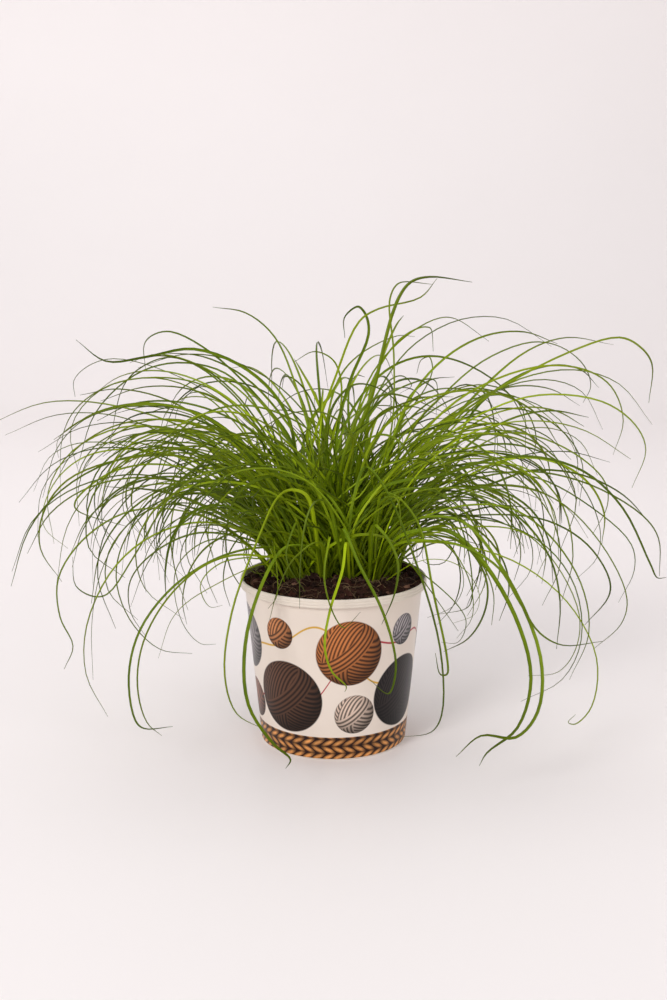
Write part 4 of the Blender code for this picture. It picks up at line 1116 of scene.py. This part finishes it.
def fine_pot_profile():
    """The part's profile with two shallow grooves round its rim band, and with rounded corners."""
    profile = list(pot_profile())
    band_top = profile.index((POT_RIM_RADIUS, POT_HEIGHT - EDGE_ROUNDING))
    grooves = []
    for below in GROOVE_PLACES:
        height = POT_HEIGHT - below
        grooves += [
            (POT_RIM_RADIUS, height + GROOVE_DEPTH),
            (POT_RIM_RADIUS - GROOVE_DEPTH, height),
            (POT_RIM_RADIUS, height - GROOVE_DEPTH),
        ]
    profile[band_top + 1:band_top + 1] = grooves
    return rounded(profile, EDGE_ROUNDING)


def add_pot(plastic, print_film):
    mesh = turned_mesh("fine_pot", fine_pot_profile(), FINE_SIDES)
    mesh.materials.append(plastic)
    mesh.materials.append(print_film)
    for face in mesh.polygons:
        x, y, z = face.center
        outward = face.normal.x * x + face.normal.y * y > 0
        face.material_index = int(outward and PRINT_FOOT < z < PRINT_TOP)
    pot = add_piece("fine_pot", mesh, plastic, "pot_plastic", "pot")
    cut_weep_holes(pot)
    shade(pot.data, SHARP_ANGLE)


def cut_weep_holes(pot):
    shape = bmesh.new()
    for k in range(WEEP_HOLES):
        bearing = math.tau * (k + 0.5) / WEEP_HOLES
        made = bmesh.ops.create_cone(
            shape, cap_ends=True, segments=4 * HOLE_SIDES, radius1=WEEP_HOLE_RADIUS,
            radius2=WEEP_HOLE_RADIUS, depth=FLOOR_TOP + 2 * CUT_PAST
        )
        place = Vector((math.cos(bearing), math.sin(bearing), 0)) * WEEP_CIRCLE_RADIUS
        bmesh.ops.translate(shape, verts=made["verts"], vec=place)
    mesh = bpy.data.meshes.new("weep_holes")
    shape.to_mesh(mesh)
    shape.free()
    cutter = put_in_scene("weep_holes", mesh)
    boolean = pot.modifiers.new("weep_holes", "BOOLEAN")
    boolean.operation = "DIFFERENCE"
    boolean.object = cutter
    boolean.solver = "EXACT"
    bpy.context.view_layer.update()
    graph = bpy.context.evaluated_depsgraph_get()
    cut = bpy.data.meshes.new_from_object(pot.evaluated_get(graph))
    pot.modifiers.clear()
    pot.data = cut
    bpy.data.objects.remove(cutter)


class Value:
    """A number in a shader. Arithmetic on it adds Math nodes to its tree."""

    def __init__(self, tree, socket):
        self.tree = tree
        self.socket = socket

    def math(self, operation, *others, clamp=False):
        node = self.tree.nodes.new("ShaderNodeMath")
        node.operation = operation
        node.use_clamp = clamp
        for entry, value in zip(node.inputs, (self, *others)):
            if isinstance(value, Value):
                self.tree.links.new(value.socket, entry)
            else:
                entry.default_value = value
        return Value(self.tree, node.outputs[0])

    def __add__(self, other):
        return self.math("ADD", other)

    def __sub__(self, other):
        return self.math("SUBTRACT", other)

    def __mul__(self, other):
        return self.math("MULTIPLY", other)

    def __truediv__(self, other):
        return self.math("DIVIDE", other)

    def clamped(self):
        return self.math("ADD", 0.0, clamp=True)

    def below(self, edge, softness):
        """1 where the number is below the edge and 0 above, over a soft step."""
        return ((self * -1 + edge) / softness + 0.5).clamped()

    def wave(self, turns=1.0):
        """0 to 1 and back, once for each 1 / turns."""
        return (self * (math.tau * turns)).math("SINE") * 0.5 + 0.5


class Surface:
    """A Principled material, with short calls for the nodes that its patterns use."""

    def __init__(self, name, **settings):
        self.material = bpy.data.materials.new(name)
        self.material.use_nodes = True
        self.tree = self.material.node_tree
        self.shader = self.tree.nodes["Principled BSDF"]
        for socket, value in settings.items():
            self.shader.inputs[socket.replace("_", " ")].default_value = value

    def coordinates(self):
        node = self.tree.nodes.new("ShaderNodeTexCoord")
        return node.outputs["Object"]

    def attribute(self, name, output):
        node = self.tree.nodes.new("ShaderNodeAttribute")
        node.attribute_name = name
        return node.outputs[output]

    def tone(self):
        """The tone of each blade, crumb or fibre, from 0 to 1."""
        return Value(self.tree, self.attribute("tone", "Fac"))

    def parts(self, vector):
        node = self.tree.nodes.new("ShaderNodeSeparateXYZ")
        self.tree.links.new(vector, node.inputs[0])
        return [Value(self.tree, output) for output in node.outputs]

    def noise(self, scale, detail):
        node = self.tree.nodes.new("ShaderNodeTexNoise")
        node.inputs["Scale"].default_value = scale
        node.inputs["Detail"].default_value = detail
        self.tree.links.new(self.coordinates(), node.inputs["Vector"])
        return Value(self.tree, node.outputs["Fac"])

    def mix(self, factor, first, second):
        """Colour between two, each a tuple or the result of another mix."""
        node = self.tree.nodes.new("ShaderNodeMix")
        node.data_type = "RGBA"
        self.tree.links.new(factor.socket, node.inputs[0])
        for entry, colour in ((6, first), (7, second)):
            if isinstance(colour, tuple):
                node.inputs[entry].default_value = (*colour, 1)
            else:
                self.tree.links.new(colour, node.inputs[entry])
        return node.outputs[2]

    def shaded(self, colour, amount):
        """The colour multiplied by a number."""
        node = self.tree.nodes.new("ShaderNodeVectorMath")
        node.operation = "SCALE"
        self.tree.links.new(colour, node.inputs[0])
        self.tree.links.new(amount.socket, node.inputs["Scale"])
        return node.outputs[0]

    def finish(self, colour, roughness=None, relief=None, height=None):
        """Links the colour, and where they are given the roughness and a bump of this height."""
        self.tree.links.new(colour, self.shader.inputs["Base Color"])
        if roughness:
            self.tree.links.new(roughness.socket, self.shader.inputs["Roughness"])
        if relief:
            bump = self.tree.nodes.new("ShaderNodeBump")
            bump.inputs["Distance"].default_value = height
            self.tree.links.new(relief.socket, bump.inputs["Height"])
            self.tree.links.new(bump.outputs[0], self.shader.inputs["Normal"])
        return self.material


def leaf_material():
    """Grass: deep to fresh green by blade, dark old bases with painted shade at the root, fine veins, a
    lighter midrib, painted shade at tip and underside.
    """
    leaf = Surface("leaf", Specular_IOR_Level=0.2)
    across, along, under = leaf.parts(leaf.attribute("grain", "Vector"))
    tone = leaf.tone()
    patch = leaf.noise(scale=55, detail=3)
    fresh = (tone * tone * 0.8 + patch * 0.6 - 0.2).clamped()
    colour = leaf.mix(fresh, LEAF_DEEP, LEAF_FRESH)
    # Painted shade where the blades crowd at their roots, with the older leaf bases' own darker colour
    base = along.below(0.06, 0.12) * 0.6
    colour = leaf.mix(base, colour, LEAF_BASE_AND_SHADE)
    tip = (along.below(0.95, 0.1) * -1 + 1) * 0.3
    colour = leaf.mix(tip, colour, LEAF_TIP)
    veins = across.wave(VEINS)
    rib = across.math("ABSOLUTE").below(RIB_REACH, 0.1)
    # Painted shade: each blade darker toward its tip, and its underside darker than its top; the veins and
    # the lighter midrib are its own colour
    light = (veins * 0.16 + rib * 0.3 + 0.96 - under * 0.28) * (along * -1.0 + 1.32)
    rough = leaf.noise(scale=300, detail=2) * 0.2 + 0.36
    return leaf.finish(leaf.shaded(colour, light), rough, veins, VEIN_RELIEF)


def peat_material():
    """Damp peat: dark and brown clods with paler grit."""
    peat = Surface("peat", Specular_IOR_Level=0.15)
    clods = peat.noise(scale=180, detail=5)
    grit = peat.noise(scale=900, detail=3)
    colour = peat.mix((clods * 2.4 - 0.75).clamped(), PEAT_DARK, PEAT_BROWN)
    colour = peat.mix((grit * 6 - 3.7).clamped() * 0.6, colour, PEAT_GRIT)
    return peat.finish(colour, grit * 0.3 + 0.65, grit, PEAT_RELIEF)


def crumb_material():
    """Crumbs: dark to brown peat by crumb, and a few of bark."""
    crumb = Surface("crumbs", Specular_IOR_Level=0.15)
    tone = crumb.tone()
    colour = crumb.mix(tone, PEAT_DARK, CRUMB_BROWN)
    bark = (tone * 16 - 15).clamped()
    colour = crumb.mix(bark, colour, BARK)
    grit = crumb.noise(scale=700, detail=3)
    colour = crumb.shaded(colour, grit * 0.9 + 0.55)
    return crumb.finish(colour, grit * 0.3 + 0.6, grit, CRUMB_RELIEF)


def fibre_material():
    """Fibres: brown to straw by fibre, with fine streaks."""
    fibre = Surface("fibres")
    tone = fibre.tone()
    colour = fibre.mix(tone, FIBRE_BROWN, FIBRE_PALE)
    streak = fibre.noise(scale=1500, detail=2)
    return fibre.finish(fibre.shaded(colour, streak * 0.8 + 0.6), streak * 0.2 + 0.6)


def plastic_material():
    """Cream moulded plastic, with faint clouding and a fine ripple."""
    plastic = Surface("cream_plastic", IOR=1.5)
    cloud = plastic.noise(scale=22, detail=3)
    colour = plastic.mix(cloud, *CREAM)
    ripple = plastic.noise(scale=160, detail=2)
    return plastic.finish(colour, cloud * 0.1 + 0.28, ripple, PLASTIC_RELIEF)


def wool_ball(film, u, v, colour, turns):
    """Colour and coverage of a ball of wool drawn at the origin of (u, v), radius 1."""
    from_centre = (u * u + v * v).math("SQRT")
    depth = (u * u + v * v).math("MULTIPLY", -1.0)
    depth = (depth + 1).clamped().math("SQRT")

    def latitude(axis):
        return u * axis[0] + v * axis[1] + depth * axis[2]

    strand = latitude(FIRST_WINDING).wave(turns)
    for axis, middle, reach in OVER_WINDINGS:
        place = latitude(axis)
        cover = (place - middle).math("ABSOLUTE").below(reach, SOFT_EDGE)
        strand = strand * (cover * -1 + 1) + place.wave(turns) * cover
    lit = (u * -0.35 + v * 0.45 + depth * 0.75).clamped()
    light = (strand * 1.05 + 0.15) * (lit * 0.95 + 0.25)
    return film.shaded(colour, light), from_centre.below(1, SOFT_EDGE)


def print_material():
    """Printed film on the pot: balls of wool, loose threads and a twisted rope round the foot."""
    film = Surface("print_film", Specular_IOR_Level=0.22)
    x, y, z = film.parts(film.coordinates())
    radius = (x * x + y * y).math("SQRT") / MM
    height = z / MM
    turn = x.math("ARCTAN2", y * -1) / math.tau
    cloud = film.noise(scale=30, detail=3)
    colour = film.mix(cloud, *FILM_CREAM)

    run = turn * COLUMNS
    for offset, level, tint in THREADS:
        away = height - level
        for turns, reach in THREAD_WAVES:
            away = away - ((run * turns + offset) * math.tau).math("SINE") * reach
        thread = away.math("ABSOLUTE").below(THREAD_WIDTH, 0.5)
        colour = film.mix(thread, colour, tint)

    for phase, level, size, first, second in BALLS:
        place = run + (0.5 - phase)
        cell = place.math("FLOOR")
        odd = cell.math("FLOORED_MODULO", 2.0)
        arc = (place - cell - 0.5) * radius * (math.tau / COLUMNS)
        tint = film.mix(odd, first, second)
        up = (height - level) / size
        ball, cover = wool_ball(film, arc / size, up, tint, TURNS_PER_MM * size)
        colour = film.mix(cover, colour, ball)

    row = (height / ROPE_ROW).math("FLOOR")
    lean = row.math("MODULO", 2.0) * 2 - 1
    within = height / ROPE_ROW - row - 0.5
    twist = turn * (math.tau * POT_FOOT_RADIUS / MM / ROPE_TWIST)
    slanted = twist + within * lean * ROPE_LEAN
    strand = slanted.math("FRACT") - 0.5
    swell = ((strand.math("ABSOLUTE") * -2 + 1) * (within.math("ABSOLUTE") * -1.7 + 1)).clamped()
    hairs = (slanted * 9 + within * 3).wave()
    worn = film.noise(scale=130, detail=3)
    rope = film.mix((swell * 1.7 - 0.12).clamped(), ROPE_SHADE, ROPE_GOLD)
    rope = film.shaded(rope, (hairs * 0.55 + 0.5) * (worn * 1.3 + 0.35))
    border = height.below(ROPE_TOP, 0.3)
    colour = film.mix(border, colour, rope)
    return film.finish(colour, cloud * 0.08 + 0.27, film.noise(scale=140, detail=2), PLASTIC_RELIEF)


def floor_material():
    floor = Surface("studio_floor", Roughness=0.5)
    return floor.finish(floor.mix(floor.noise(scale=3, detail=2), *FLOOR_PALE))


def add_floor():
    """One sheet: a flat floor that sweeps up behind into a wall."""
    outline = [(FLOOR_FRONT, 0), (FLOOR_BACK, 0)]
    for k in range(1, SWEEP_STEPS + 1):
        turn = math.pi / 2 * k / SWEEP_STEPS
        outline.append((FLOOR_BACK + SWEEP_RADIUS * math.sin(turn),
                        SWEEP_RADIUS * (1 - math.cos(turn))))
    outline.append((FLOOR_BACK + SWEEP_RADIUS, SWEEP_TOP))
    points = [(side, y, z) for y, z in outline for side in (-FLOOR_SIDE, FLOOR_SIDE)]
    faces = [(k, k + 1, k + 3, k + 2) for k in range(0, 2 * len(outline) - 2, 2)]
    mesh = mesh_of("floor", points, faces)
    mesh.shade_smooth()
    mesh.materials.append(floor_material())
    floor = put_in_scene("floor", mesh)
    floor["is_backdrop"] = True


def add_light(name, place, target, size, power):
    light = bpy.data.lights.new(name, "AREA")
    light.shape = "RECTANGLE"
    light.size, light.size_y = size
    light.energy = power
    lamp = put_in_scene(name, light)
    lamp.location = place
    lamp.rotation_euler = (Vector(target) - Vector(place)).to_track_quat("-Z", "Y").to_euler()


def add_studio():
    add_floor()
    for light in LIGHTS:
        add_light(*light)
    world = bpy.data.worlds.new("studio")
    world.use_nodes = True
    backdrop = world.node_tree.nodes["Background"]
    backdrop.inputs["Color"].default_value = (*SKY, 1)
    backdrop.inputs["Strength"].default_value = SKY_STRENGTH
    bpy.context.scene.world = world
    bpy.context.scene.view_settings.view_transform = "Standard"
    lens = bpy.data.cameras.new("camera")
    lens.lens = LENS
    lens.sensor_width = lens.sensor_height = SENSOR
    camera = put_in_scene("camera", lens)
    camera.location = EYE
    camera.rotation_euler = (math.radians(90 - CAMERA_PITCH), 0, 0)
    bpy.context.scene.camera = camera


def corners(box):
    return [[float(value) for value in corner] for corner in box]


def main():
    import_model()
    add_studio()
    add_pot(plastic_material(), print_material())
    add_peat(peat_material())
    add_crumbs(crumb_material())
    add_fibres(fibre_material())
    add_grass(leaf_material())


main()
